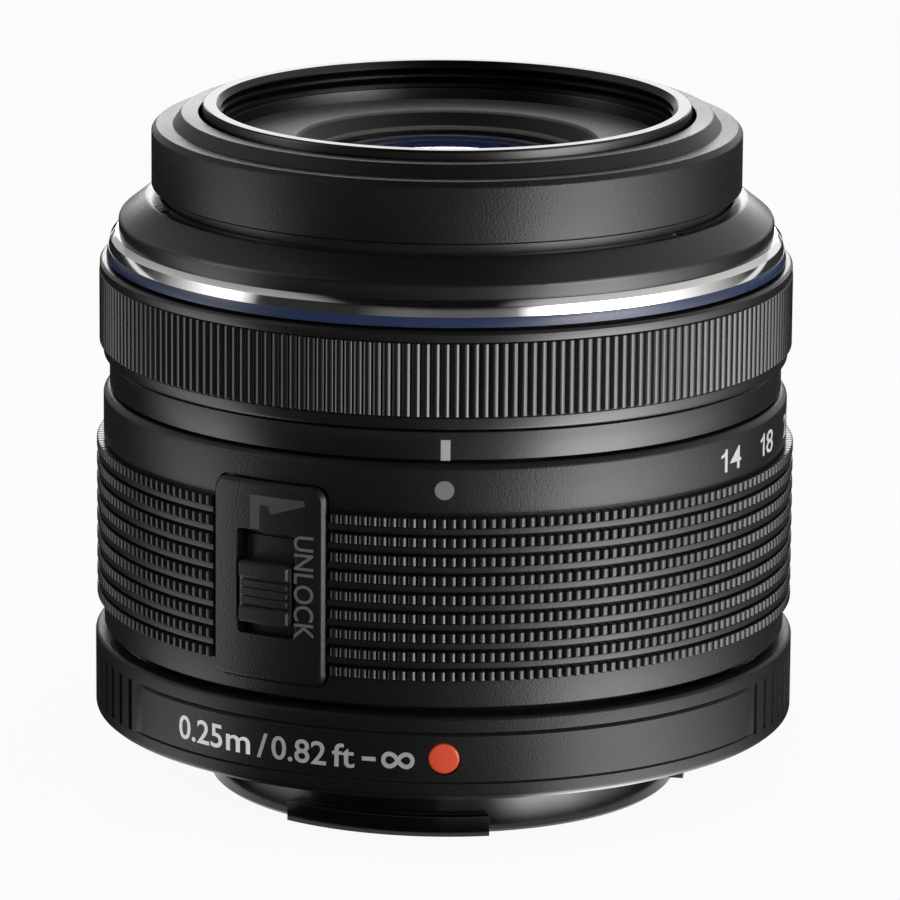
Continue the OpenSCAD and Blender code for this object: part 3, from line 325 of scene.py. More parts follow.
# %% [markdown]
# The floor is pale and matt. The camera, metal and glass see it nearly white, and it keeps the shadow.

# %% Floor
FLOOR_RADIUS = 4
FLOOR_WHITE = 0.93
FLOOR_GREY = 0.85


def floor_finish():
    material = bpy.data.materials.new("pale_floor")
    material.use_nodes = True
    tree = material.node_tree
    tree.nodes.clear()
    out = new_node(tree, "OutputMaterial")
    matt = set_inputs(new_node(tree, "BsdfDiffuse"), Color=(FLOOR_GREY, FLOOR_GREY, FLOOR_GREY, 1))
    glow = set_inputs(new_node(tree, "Emission"), Color=(1, 1, 1, 1), Strength=1)
    path = new_node(tree, "LightPath").outputs
    mix = new_node(tree, "MixShader")
    seen = combined(tree, "MAXIMUM", path["Is Camera Ray"], path["Is Glossy Ray"])
    seen = combined(tree, "MAXIMUM", seen, path["Is Transmission Ray"])
    tree.links.new(combined(tree, "MULTIPLY", seen, FLOOR_WHITE), mix.inputs["Fac"])
    tree.links.new(matt.outputs[0], mix.inputs[1])
    tree.links.new(glow.outputs[0], mix.inputs[2])
    tree.links.new(mix.outputs[0], out.inputs["Surface"])
    return material


bpy.ops.object.select_all(action="DESELECT")
bpy.ops.mesh.primitive_circle_add(
    vertices=96, radius=FLOOR_RADIUS, fill_type="NGON", location=(0, 0, FLOOR_Z))
floor = bpy.context.object
floor.name = "floor"
floor.data.materials.append(floor_finish())
print("floor at", round(FLOOR_Z / MM, 2), "mm")

# %% [markdown]
# The upright walls of the barrel are seen from above, so they mirror the table and not the room. A thin card
# round the lens has its own plan of strips for them, and only reflections see it. Near the lens a wall
# looks at the card from beside the axis, so the strips are turned a little there. Right under the barrel the
# card is dark, as the table is in the barrel's own shade, and far away the strips fade a little.

# %% Card on the table
CARD_FOOT = 20.5
CARD_REACH = 900
CARD_RISE = 6
CARD_LIFT = 0.1
WALL_R = 27.5
NEAR_TURN = 1.12
SHADE_FROM = 22
SHADE_TO = 27
SHADE_GLOW = 0.05
FAR_FROM = 165
FAR_TO = 240
FAR_GLOW = 0.72
CARD_STEPS = 96
TABLE_PLAN = [
    (-180, 0.02), (-124, 0.02), (-112, 0.5), (-100, 2.0), (-80, 2.8), (-74, 1.7), (-67, 0.03), (-30, 0.02),
    (-12, 0.05), (-4, 0.08), (2, 0.34), (16, 0.36), (24, 0.9), (30, 3.4), (42, 9.0), (64, 9.0), (80, 4.2),
    (96, 2.0), (110, 0.5), (126, 0.06), (180, 0.03)]


def card_finish():
    material = bpy.data.materials.new("card_glow")
    material.use_nodes = True
    tree = material.node_tree
    tree.nodes.clear()
    place = new_node(tree, "TexCoord").outputs["Object"]
    reach = new_node(tree, "VectorMath", operation="LENGTH")
    tree.links.new(place, reach.inputs[0])
    turn = turn_of(tree, place)
    half = graded(tree, turn, 0, 1, -math.pi / 2, math.pi / 2)
    share = combined(tree, "DIVIDE", NEAR_TURN * WALL_R * MM / (2 * math.pi), reach.outputs["Value"])
    aside = combined(tree, "MULTIPLY", combined(tree, "SINE", half, 0.0), share)
    shade = graded(tree, reach.outputs["Value"], SHADE_FROM * MM, SHADE_TO * MM, SHADE_GLOW, 1)
    fade = graded(tree, reach.outputs["Value"], FAR_FROM * MM, FAR_TO * MM, 1, FAR_GLOW)
    planned = planned_glow(tree, combined(tree, "ADD", turn, aside), TABLE_PLAN)
    glow = new_node(tree, "Emission")
    tree.links.new(combined(tree, "MULTIPLY", combined(tree, "MULTIPLY", planned, shade), fade),
                   glow.inputs["Color"])
    tree.links.new(glow.outputs[0], new_node(tree, "OutputMaterial").inputs["Surface"])
    return material


card_z = FLOOR_Z / MM + CARD_LIFT
card_section = [(CARD_FOOT, card_z), (CARD_REACH, card_z + CARD_RISE), (CARD_REACH, card_z)]
card = lathe("table_card", card_section, CARD_STEPS)
card.data.materials.append(card_finish())
card.visible_camera = False
card.visible_diffuse = False
card.visible_shadow = False
card.visible_transmission = False

# %% [markdown]
# The finishes share a few effects, so each effect is a node group that is built once.
# Moulded grain gives the tiny bumps of a spark-eroded mould and a slow cloud for uneven gloss.
# Edge wear and highlight finds the outer edges and gives them a lighter tone, partly the polish of fingers
# and partly a painted highlight where light catches an edge. Turned lines follow the lathe's tool round the
# axis. A group only gives values; the shader itself stays in each material.

# %% Shared effects
FLAT_MATCH = 0.985
SHARP_MATCH = 0.80


def new_group(name, inputs, outputs):
    group = bpy.data.node_groups.new(name, "ShaderNodeTree")
    for label, value in inputs.items():
        socket = group.interface.new_socket(label, in_out="INPUT", socket_type="NodeSocketFloat")
        socket.default_value = value
    for label in outputs:
        group.interface.new_socket(label, in_out="OUTPUT", socket_type="NodeSocketFloat")
    return group, group.nodes.new("NodeGroupInput"), group.nodes.new("NodeGroupOutput")


def moulded_grain():
    """Fine bumps and a slow cloud, each a noise of its own scale."""
    group, given, result = new_group("moulded_grain", {"Grain": 8000, "Cloud": 90}, ["Height", "Cloud"])
    place = new_node(group, "TexCoord")
    for scale, output, detail in (("Grain", "Height", 2), ("Cloud", "Cloud", 3)):
        noise = set_inputs(new_node(group, "TexNoise"), Detail=detail)
        group.links.new(place.outputs["Object"], noise.inputs["Vector"])
        group.links.new(given.outputs[scale], noise.inputs["Scale"])
        group.links.new(noise.outputs["Fac"], result.inputs[output])
    return group


# Lighter edges: partly wear, partly a painted highlight where light catches an edge.
def edge_wear_and_highlight():
    """Where a rounded normal departs from the true one there is an edge."""
    group, given, result = new_group("edge_wear_and_highlight", {"Radius": 0.00012}, ["Edge"])
    bevel = new_node(group, "Bevel", samples=6)
    shape = new_node(group, "NewGeometry")
    dot = new_node(group, "VectorMath", operation="DOT_PRODUCT")
    ramp = set_inputs(new_node(group, "MapRange"), From_Min=FLAT_MATCH, From_Max=SHARP_MATCH)
    group.links.new(given.outputs["Radius"], bevel.inputs["Radius"])
    group.links.new(bevel.outputs["Normal"], dot.inputs[0])
    group.links.new(shape.outputs["Normal"], dot.inputs[1])
    group.links.new(dot.outputs["Value"], ramp.inputs["Value"])
    group.links.new(ramp.outputs["Result"], result.inputs["Edge"])
    return group


def turned_lines():
    """Noise read by distance from the axis and height only, so it makes rings."""
    group, given, result = new_group("turned_lines", {"Fineness": 9000}, ["Height"])
    place = new_node(group, "TexCoord")
    parts = new_node(group, "SeparateXYZ")
    flat = new_node(group, "CombineXYZ")
    reach = new_node(group, "VectorMath", operation="LENGTH")
    line = new_node(group, "CombineXYZ")
    noise = set_inputs(new_node(group, "TexNoise"), Detail=2)
    group.links.new(place.outputs["Object"], parts.inputs["Vector"])
    group.links.new(parts.outputs["X"], flat.inputs["X"])
    group.links.new(parts.outputs["Y"], flat.inputs["Y"])
    group.links.new(flat.outputs["Vector"], reach.inputs[0])
    group.links.new(reach.outputs["Value"], line.inputs["X"])
    group.links.new(parts.outputs["Z"], line.inputs["Z"])
    group.links.new(line.outputs["Vector"], noise.inputs["Vector"])
    group.links.new(given.outputs["Fineness"], noise.inputs["Scale"])
    group.links.new(noise.outputs["Fac"], result.inputs["Height"])
    return group


GRAIN = moulded_grain()
EDGE_WEAR_AND_HIGHLIGHT = edge_wear_and_highlight()
LINES = turned_lines()
print("effects:", [g.name for g in bpy.data.node_groups])

# %% [markdown]
# The plastics are one recipe with different values: a nearly black colour, a gloss that clouds a little,
# grain as bump, and lighter edges, partly wear and partly a painted highlight. Metals take turned lines
# instead of grain.
# Each finish is a function of its own values, so a learner can change one number and see what it does.

# %% Finish recipes
PLASTIC_CLOUD = 110
METAL_CLOUD = 160
PAINT_GRAIN = 6000
PAINT_CLOUD = 700
GLOSS_SPREAD = 0.04


def effect(tree, group, **values):
    node = tree.nodes.new("ShaderNodeGroup")
    node.node_tree = group
    return set_inputs(node, **values)


def new_finish(name, **values):
    material = bpy.data.materials.new(name)
    material.use_nodes = True
    return material.node_tree, set_inputs(material.node_tree.nodes["Principled BSDF"], **values), material


def vary(tree, value, low, high, socket):
    """Spread a 0 to 1 value over a range and feed it to a socket."""
    spread = set_inputs(new_node(tree, "MapRange"), From_Min=0.25, From_Max=0.75, To_Min=low, To_Max=high)
    tree.links.new(value, spread.inputs["Value"])
    tree.links.new(spread.outputs["Result"], socket)


def tint(tree, mask, base, top, socket):
    mix = new_node(tree, "Mix", data_type="RGBA")
    mix.inputs["A"].default_value = (*base, 1)
    mix.inputs["B"].default_value = (*top, 1)
    tree.links.new(mask, mix.inputs["Factor"])
    tree.links.new(mix.outputs["Result"], socket)


def relief(tree, height, depth_mm, shader):
    bump = set_inputs(new_node(tree, "Bump"), Strength=1, Distance=depth_mm * MM)
    tree.links.new(height, bump.inputs["Height"])
    tree.links.new(bump.outputs["Normal"], shader.inputs["Normal"])


def plastic(name, colour, edge_colour, gloss, grain_mm, depth_mm, shine=0.5):
    tree, shader, material = new_finish(name, Specular_IOR_Level=shine)
    grain = effect(tree, GRAIN, Grain=1 / (grain_mm * MM), Cloud=PLASTIC_CLOUD)
    # The edge colour paints lighter edges, partly wear and partly a painted highlight.
    tint(tree, effect(tree, EDGE_WEAR_AND_HIGHLIGHT).outputs["Edge"], colour, edge_colour, shader.inputs["Base Color"])
    vary(tree, grain.outputs["Cloud"], gloss - GLOSS_SPREAD, gloss + GLOSS_SPREAD, shader.inputs["Roughness"])
    relief(tree, grain.outputs["Height"], depth_mm, shader)
    return material


def metal(name, colour, dull_colour, gloss, line_mm, depth_mm):
    tree, shader, material = new_finish(name, Metallic=1)
    lines = effect(tree, LINES, Fineness=1 / (line_mm * MM))
    cloud = effect(tree, GRAIN, Cloud=METAL_CLOUD)
    tint(tree, cloud.outputs["Cloud"], colour, dull_colour, shader.inputs["Base Color"])
    vary(tree, cloud.outputs["Cloud"], gloss, gloss + 2 * GLOSS_SPREAD, shader.inputs["Roughness"])
    relief(tree, lines.outputs["Height"], depth_mm, shader)
    return material


def paint(name, colour, gloss=0.45):
    tree, shader, material = new_finish(name)
    grain = effect(tree, GRAIN, Grain=PAINT_GRAIN, Cloud=PAINT_CLOUD)
    tint(tree, grain.outputs["Cloud"], [c * 0.9 for c in colour], colour, shader.inputs["Base Color"])
    vary(tree, grain.outputs["Cloud"], gloss - 0.05, gloss + 0.05, shader.inputs["Roughness"])
    relief(tree, grain.outputs["Height"], 0.001, shader)
    return material


print("clouds of plastic, metal and paint:", PLASTIC_CLOUD, METAL_CLOUD, PAINT_CLOUD)

# %% [markdown]
# The outside of the lens is nearly all black plastic, but its mouldings differ: the wide bands are satin
# with a clear grain, the grips are smoother, and the base is the dullest. Each plastic is given by its
# colour, the lighter colour of its edges (partly wear, partly a painted highlight), its roughness, and the
# size and depth of its grain in mm. Metals have a duller second colour, a roughness, and the spacing and depth
# of their turned lines.

# %% Plastics, metals and paints
BLACK = (0.0046, 0.0044, 0.0042)
# EDGE is the lighter tone of the edges, partly wear and partly a painted highlight.
EDGE = (0.016, 0.0155, 0.015)
SATIN = plastic("satin_black", BLACK, EDGE, 0.36, 0.17, 0.024, shine=0.32)
BASE = plastic("base_satin_black", BLACK, EDGE, 0.41, 0.17, 0.024, shine=0.22)
SMOOTH = plastic("smooth_satin_black", BLACK, EDGE, 0.28, 0.14, 0.010)
GRIP = plastic("grip_black", BLACK, (0.008, 0.0078, 0.0076), 0.22, 0.10, 0.005, shine=0.58)
PEG = plastic("peg_black", BLACK, (0.008, 0.0078, 0.0076), 0.26, 0.10, 0.005, shine=0.40)
SLIDER = plastic("slider_black", (0.0055, 0.0055, 0.0055), EDGE, 0.40, 0.16, 0.018, shine=0.34)
MOUNT = plastic("mount_black", (0.003, 0.003, 0.003), (0.04, 0.04, 0.04), 0.18, 0.4, 0.001, shine=0.48)
NOSE = plastic("nose_black", (0.024, 0.023, 0.022), (0.04, 0.039, 0.038), 0.46, 0.12, 0.012)
BARREL = plastic("barrel_black", (0.011, 0.011, 0.011), EDGE, 0.36, 0.10, 0.002)
SENSOR = plastic("sensor_black", (0.02, 0.02, 0.024), EDGE, 0.3, 0.2, 0.001)
BLADE = plastic("blade_black", (0.012, 0.012, 0.013), EDGE, 0.55, 0.2, 0.001)
FELT = plastic("seal_felt", (0.006, 0.006, 0.006), (0.01, 0.01, 0.01), 0.9, 0.06, 0.03, shine=0.1)
BOARD = plastic("board_green", (0.012, 0.075, 0.032), (0.03, 0.12, 0.06), 0.35, 0.3, 0.002)
CHROME = metal("chrome_trim", (0.80, 0.79, 0.77), (0.74, 0.73, 0.71), 0.04, 0.06, 0.0001)
BLUE = plastic("blue_trim", (0.011, 0.021, 0.062), (0.022, 0.038, 0.10), 0.28, 0.16, 0.010)
STEEL = metal("screw_steel", (0.55, 0.54, 0.53), (0.47, 0.46, 0.45), 0.26, 0.08, 0.0006)
CAN = metal("motor_can", (0.62, 0.61, 0.59), (0.54, 0.53, 0.51), 0.30, 0.10, 0.0006)
GOLD = metal("contact_gold", (0.83, 0.60, 0.25), (0.72, 0.50, 0.20), 0.20, 0.10, 0.0004)
# Near-black steel for the pawl, painted shade in the gap where it shows.
PAWL_SHADE_STEEL = metal("pawl_steel_painted_shade", (0.03, 0.03, 0.032), (0.022, 0.022, 0.024), 0.35, 0.08, 0.0006)
ALLOY = metal("cam_alloy", (0.35, 0.35, 0.35), (0.28, 0.28, 0.28), 0.38, 0.08, 0.001)
RED = paint("index_red", (0.60, 0.060, 0.018), 0.35)
WHITE = paint("mark_white", (0.76, 0.76, 0.75))
SCALE_WHITE = paint("scale_white", (0.58, 0.58, 0.575))
GREY = paint("mark_grey", (0.14, 0.14, 0.138))
SOFT_GREY = paint("mark_soft_grey", (0.088, 0.088, 0.086))
PALE = paint("mark_pale", (0.30, 0.30, 0.296))
DIM = paint("mark_dim", (0.034, 0.034, 0.033))
print("finishes so far:", len(bpy.data.materials))

# %% [markdown]
# The filter ring is dark anodised metal. Its top face was cut after the dip, so it is barer and shinier
# there. One material with a mask by height does both, and the mask also sets the roughness.

# %% Filter ring's finish
BARE_FROM = 0.09
BARE_TO = 0.03
BARE_LINES = 20000


def bare_topped(name, colour, top_colour, gloss, top):
    """Dark anodised metal whose top face was cut bare after the dip."""
    tree, shader, material = new_finish(name, Metallic=1, Specular_Tint=(0.62, 0.62, 0.62, 1))
    parts = new_node(tree, "SeparateXYZ")
    tree.links.new(new_node(tree, "TexCoord").outputs["Object"], parts.inputs["Vector"])
    bare = graded(tree, parts.outputs["Z"], top - BARE_FROM * MM, top - BARE_TO * MM, 0, 1)
    tint(tree, bare, colour, top_colour, shader.inputs["Base Color"])
    tree.links.new(graded(tree, bare, 0, 1, gloss, gloss / 2), shader.inputs["Roughness"])
    relief(tree, effect(tree, LINES, Fineness=BARE_LINES).outputs["Height"], 0.0006, shader)
    return material


FILTER = bare_topped("filter_black", (0.05, 0.049, 0.048), (0.062, 0.060, 0.058), 0.30,
                     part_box("filter_ring")[1].z)

# %% [markdown]
# The glasses are clear, with the blue tint of a coating. The outer one shows faint rings, painted reflections
# of the coated faces behind it. Real ones would need many bounces of light, so a weak glow with a ring pattern
# is painted in their place, and it fades out before the edge of the glass.

# %% Glass
RING_SPACING = 1.7
REFLECTION_FADE_FROM = 6.8
REFLECTION_FADE_TO = 7.8
# Colours of the painted reflection glow, between and on its rings.
DARK_REFLECTION_GLOW = (0.0009, 0.0018, 0.0075)
PALE_REFLECTION_GLOW = (0.010, 0.013, 0.030)


def coated_glass(name):
    """Clear glass with the blue tint of its coating, and a breath of haze in places."""
    tree, shader, material = new_finish(
        name, Base_Color=(0.90, 0.93, 1, 1), Transmission_Weight=1, IOR=1.6,
        Specular_Tint=(0.35, 0.45, 1, 1))
    haze = effect(tree, GRAIN, Cloud=60)
    vary(tree, haze.outputs["Cloud"], 0.0, 0.02, shader.inputs["Roughness"])
    return material, tree, shader


def front_glass():
    """The outer glass, with a painted reflection: a weak glow in rings."""
    material, tree, shader = coated_glass("front_glass_painted_reflections")
    place = new_node(tree, "TexCoord").outputs["Object"]
    rings = set_inputs(new_node(tree, "TexWave", wave_type="RINGS", rings_direction="Z"),
                       Scale=2 * math.pi / (20 * RING_SPACING * MM))
    tree.links.new(place, rings.inputs["Vector"])
    parts = new_node(tree, "SeparateXYZ")
    tree.links.new(place, parts.inputs["Vector"])
    across = combined(tree, "POWER", parts.outputs["X"], 2.0)
    along_y = combined(tree, "POWER", parts.outputs["Y"], 2.0)
    reach = combined(tree, "SQRT", combined(tree, "ADD", across, along_y), 0.0)
    fade = new_node(tree, "Mix", data_type="RGBA")
    fade.inputs["A"].default_value = (0, 0, 0, 1)
    tree.links.new(graded(tree, reach, REFLECTION_FADE_FROM * MM, REFLECTION_FADE_TO * MM, 1, 0), fade.inputs["Factor"])
    # Painted reflection: the bright rings of the glow stand in for reflections of the faces behind.
    arcs = graded(tree, rings.outputs["Fac"], 0.80, 1, 0, 1)
    tint(tree, arcs, DARK_REFLECTION_GLOW, PALE_REFLECTION_GLOW, fade.inputs["B"])
    tree.links.new(fade.outputs["Result"], shader.inputs["Emission Color"])
    set_inputs(shader, Emission_Strength=1)
    return material


GLASS = coated_glass("coated_glass")[0]
FRONT_GLASS = front_glass()
SLOT_FINISH = {
    "satin_black": SATIN, "slider_black": SLIDER, "mount_black": MOUNT, "filter_black": FILTER,
    "nose_black": NOSE, "barrel_black": BARREL, "chrome_trim": CHROME, "blue_trim": BLUE,
    "coated_glass": GLASS, "screw_steel": STEEL, "motor_can": CAN, "contact_gold": GOLD,
    "board_green": BOARD, "sensor_black": SENSOR, "cam_alloy": ALLOY, "index_red": RED,
    "seal_felt": FELT, "blade_black": BLADE,
}
print("finishes by slot:", len(SLOT_FINISH))

# %% [markdown]
# Inside the barrel sit the cells, glasses, motors and screws that the imported model already has in their true
# shapes. They stay, and each takes the finish of its slot. The pawl of the lock is near-black steel, painted
# shade where it shows in the gap between the zoom ring and the base ring.

# %% Finishes for the frame's own pieces
NODE_SLOT = {row["node"]: row["material_slot"] for row in frame["record"]["subparts"]}
for name, node in frame["nodes"].items():
    node.data.materials.clear()
    node.data.materials.append(SLOT_FINISH[NODE_SLOT[name]])
# Painted shade: the pawl is near black so that it stays dark in the gap where it shows.
frame["nodes"]["lock_pawl"].data.materials[0] = PAWL_SHADE_STEEL
print("finished frame pieces:", len(frame["nodes"]))

# %% [markdown]
# Each new piece ends the same way: it takes a finish, rides on the body it belongs to,
# and hides the plain solid it stands for. Heights and radii are asked from the solid it replaces.

# %% Hand-over and measuring helpers
BODY_OF = {name: body for body, names in frame["record"]["behaviour"]["bodies"].items() for name in names}


def hand_over(piece, finish, *nodes, body=None):
    """Give a piece its finish and its body, and hide the solids that it stands for."""
    piece.data.materials.clear()
    piece.data.materials.append(finish)
    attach(piece, body or BODY_OF[nodes[0]])
    if nodes:
        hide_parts(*nodes)
    print(piece.name, "has", len(piece.data.polygons), "faces")
    return piece


def heights(node):
    low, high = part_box(node)
    return low.z / MM, high.z / MM


def reach_of(node):
    low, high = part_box(node)
    return (high.x - low.x) / 2 / MM


# %% [markdown]
# The nose. The decor ring is a plain wall with a bevelled brow, a slanted step and a raised lip.
# The filter ring stands inside it, with a bright top face and a short thread cut into its bore.
# Both are one section each; the thread is drawn as the zigzag that the cutter leaves.

# %% Decor ring
LIP_H = 0.97
LIP_W = 1.36
LIP_SLANT = 0.68
LIP_EDGE = 0.12
FACE_T = 0.8
BROW_BEVEL = 0.40
FOOT_EASE = 0.14
RIM_GAP = 0.35
z_foot, z_lip = heights("decor_ring")
decor_r = reach_of("decor_ring") - 0.08
z_face = z_lip - LIP_H
rim_r = 19.56
decor_bore = rim_r + RIM_GAP
lip_r = decor_bore + LIP_W
nose_bore = 22.75
decor_ring = lathe("decor_ring_dressed", [
    (nose_bore, z_foot), (decor_r - FOOT_EASE, z_foot, 0.05), (decor_r, z_foot + FOOT_EASE, 0.06),
    (decor_r, z_face - BROW_BEVEL, 0.1), (decor_r - BROW_BEVEL, z_face, 0.05),
    (lip_r + LIP_SLANT, z_face, 0.05), (lip_r, z_lip, 0.06), (lip_r - LIP_EDGE, z_lip),
    (decor_bore + LIP_EDGE, z_lip), (decor_bore, z_lip, 0.06),
    (decor_bore, z_face - FACE_T), (nose_bore, z_face - FACE_T)])
hand_over(decor_ring, SATIN, "decor_ring")

# %% Filter ring
THREAD_PITCH = 0.75
THREAD_MINOR = 18.094
THREAD_MAJOR = 18.5
THREAD_LENGTH = 2.15
LEAD_IN = 0.45
CREST_END = 0.10
ROOT_AT = 0.36
NEXT_CREST = 0.65
FLANGE_H = 1.1
RIM_ROUND = 0.20
z_ring_foot, z_rim = heights("filter_ring")
filter_foot = reach_of("filter_ring")
z_thread = z_rim - THREAD_LENGTH
thread = [(rim_r - 0.24, z_rim), (THREAD_MAJOR + 0.12, z_rim), (THREAD_MAJOR, z_rim, 0.06),
          (THREAD_MINOR, z_rim - LEAD_IN)]
turns = int((THREAD_LENGTH - LEAD_IN) / THREAD_PITCH)
for turn in range(turns):
    z_turn = z_rim - LEAD_IN - turn * THREAD_PITCH
    thread += [(THREAD_MINOR, z_turn - CREST_END), (THREAD_MAJOR, z_turn - ROOT_AT),
               (THREAD_MINOR, z_turn - NEXT_CREST)]
seat_r = THREAD_MINOR - 0.35
filter_ring = lathe("filter_ring_dressed", [
    (seat_r, z_ring_foot), (filter_foot, z_ring_foot), (filter_foot, z_ring_foot + FLANGE_H),
    (rim_r, z_ring_foot + FLANGE_H), (rim_r, z_rim, RIM_ROUND), *thread,
    (THREAD_MINOR, z_thread), (seat_r, z_thread, 0.06)])
hand_over(filter_ring, FILTER, "filter_ring")

# %% [markdown]
# The beauty ring closes the nose round the front glass: a wide flat ring, then a cone that keeps stray light
# off the glass, ending in a fine rim. Its colour changes with the height, as on the bare top of the filter
# ring:
# the flat ring is grey, the cone is near black as painted shade of the recess, and the fine rim is grey again,
# a painted highlight that shows as a thin bright ring.

# %% Beauty ring
CONE_W = 1.5
LEDGE_H = 0.40
# Near black for the cone: painted shade of the recess.
CONE_PAINTED_SHADE = (0.0008, 0.0008, 0.0008)
FLAT_GREY = (0.058, 0.056, 0.053)
z_well, z_beauty = heights("beauty_ring")
beauty_r = reach_of("beauty_ring")
brow_r = 12.0
well_r = brow_r - CONE_W
z_ledge = z_well + LEDGE_H


def beauty_finish():
    """Grey on the flat ring, near black in the cone as painted shade, and grey at its foot as a painted
    highlight.
    """
    tree, shader, material = new_finish("beauty_black", Specular_IOR_Level=0.4)
    parts = new_node(tree, "SeparateXYZ")
    tree.links.new(new_node(tree, "TexCoord").outputs["Object"], parts.inputs["Vector"])
    # The flat ring is grey; below it the cone is near black, painted shade of the recess.
    top = graded(tree, parts.outputs["Z"], (z_beauty - 0.22) * MM, (z_beauty - 0.14) * MM, 0, 1)
    # Painted highlight: the fine rim at the foot of the cone is grey, a thin bright ring.
    rim = graded(tree, parts.outputs["Z"], (z_ledge + 0.02) * MM, (z_ledge + 0.06) * MM, 1, 0)
    tint(tree, combined(tree, "MAXIMUM", top, rim), CONE_PAINTED_SHADE, FLAT_GREY, shader.inputs["Base Color"])
    grain = effect(tree, GRAIN, Grain=8000, Cloud=PLASTIC_CLOUD)
    vary(tree, grain.outputs["Cloud"], 0.44, 0.52, shader.inputs["Roughness"])
    relief(tree, grain.outputs["Height"], 0.010, shader)
    return material


beauty_ring = lathe("beauty_ring_dressed", [
    (well_r + 0.45, z_well), (beauty_r, z_well), (beauty_r, z_beauty - 0.15, 0.06),
    (brow_r + 0.12, z_beauty, 0.08), (brow_r, z_beauty - 0.12, 0.05), (well_r + 0.3, z_ledge, 0.02),
    (well_r + 0.16, z_ledge + 0.04, 0.03), (well_r, z_ledge - 0.05, 0.04), (well_r, z_ledge - 0.25)])
hand_over(beauty_ring, beauty_finish(), "beauty_ring")

# %% [markdown]
# A glass is a section with two arcs. The frame's glasses are cut with few steps, enough for a fit but not
# for a reflection, so the ones that can be seen are turned again with a fine arc.

# %% Front and rear glasses
ARC_STEPS = 28
GLASS_STEPS = 128


def sag(curve, r, x):
    """Height of a spherical face above its rim at distance x from the axis; a hollow face is negative."""
    return math.copysign(math.sqrt(curve * curve - x * x) - math.sqrt(curve * curve - r * r), curve)


def glass(node, front, back, finish=GLASS):
    """Turn a glass again from the radii of its two faces in mm."""
    low, high = heights(node)
    r = reach_of(node)
    z_front = high - max(sag(front, r, 0), 0)
    z_back = low + max(sag(back, r, 0), 0)
    spots = [r * step / ARC_STEPS for step in range(ARC_STEPS + 1)]
    corners = [(x, z_front + sag(front, r, x)) for x in spots]
    corners += [(x, z_back - sag(back, r, x)) for x in reversed(spots)]
    return hand_over(lathe(node + "_dressed", corners, GLASS_STEPS), finish, node)


glass("lens_1", front=62, back=-30, finish=FRONT_GLASS)
glass("lens_2", front=24, back=-60)
glass("rear_lens", front=34, back=60)

# %% [markdown]
# The fixed front: a shoulder with a sloping face, a bright chrome ring with two facets, and a blue line.
# The facets are left crisp, because on the real ring they split the reflection in two bands.

# %% Front shoulder
SLOPE_H = 1.8
z_shoulder0, z_shoulder1 = heights("front_shoulder")
z_brow = z_shoulder1 - SLOPE_H
brow = reach_of("front_shoulder")
crown = 24.1
opening = 23.0
shoulder = lathe("front_shoulder_dressed", [
    (opening, z_shoulder0), (crown + 0.05, z_shoulder0), (crown + 0.05, heights("chrome_ring")[1]),
    (brow, heights("chrome_ring")[1]), (brow, z_brow + 0.08, 0.25), (crown, z_shoulder1, 0.12),
    (opening, z_shoulder1, 0.08), (opening, z_shoulder1 - 0.6)])
print("shoulder from", round(z_shoulder0, 2), "to", round(z_shoulder1, 2), "mm")

# %% [markdown]
# Three screws hold the shoulder, with their heads sunk in its top. Each hole is a narrow and a wide cylinder
# that a boolean takes away. The same helper will cut the pocket of the lock and the seat of the red dot.

# %% Screw holes
def cut_away(piece, tool):
    """Take the shape of a tool out of a piece, and drop the tool."""
    select_only(piece)
    boolean = piece.modifiers.new("cut", "BOOLEAN")
    boolean.operation = "DIFFERENCE"
    boolean.solver = "EXACT"
    boolean.object = tool
    bpy.ops.object.modifier_apply(modifier=boolean.name)
    bpy.data.objects.remove(tool)
    bpy.ops.object.shade_smooth_by_angle(angle=SMOOTH_ANGLE)


HEAD_R = 0.505
HEAD_H = 0.55
SHANK_R = 0.35
SCREW_AZIMUTHS = (50, 170, 290)
screw_at = (opening + crown) / 2
for azimuth in SCREW_AZIMUTHS:
    spot = around(azimuth, screw_at * MM, 0)
    for hole_r, low, high in ((HEAD_R, z_shoulder1 - HEAD_H, z_shoulder1 + 0.5),
                              (SHANK_R, z_shoulder0 - 0.5, z_shoulder1)):
        bpy.ops.object.select_all(action="DESELECT")
        bpy.ops.mesh.primitive_cylinder_add(
            vertices=32, radius=hole_r * MM, depth=(high - low) * MM,
            location=(spot.x, spot.y, (low + high) / 2 * MM))
        cut_away(shoulder, bpy.context.object)
hand_over(shoulder, SMOOTH, "front_shoulder")

# %% Chrome and blue rings
sleeve_r = 26.15
z_chrome0, z_chrome1 = heights("chrome_ring")
chrome_r = reach_of("chrome_ring")
FACET_H = 0.44
TRIM_SLANT = 0.15
chrome_ring = lathe("chrome_ring_dressed", [
    (sleeve_r, z_chrome0), (chrome_r, z_chrome0), (chrome_r - TRIM_SLANT, z_chrome1 - FACET_H, 0.02),
    (chrome_r - TRIM_SLANT - FACET_H, z_chrome1, 0.04), (sleeve_r, z_chrome1)])
hand_over(chrome_ring, CHROME, "chrome_ring")

z_blue0, z_blue1 = heights("blue_ring")
blue_r = reach_of("blue_ring")
blue_ring = lathe("blue_ring_dressed", [
    (sleeve_r, z_blue0), (blue_r, z_blue0, 0.06), (blue_r - TRIM_SLANT, z_blue1, 0.03), (sleeve_r, z_blue1)])
hand_over(blue_ring, BLUE, "blue_ring")

# %% [markdown]
# The focus ring is a turned band with a recess for its ribs, under a bevelled brow.

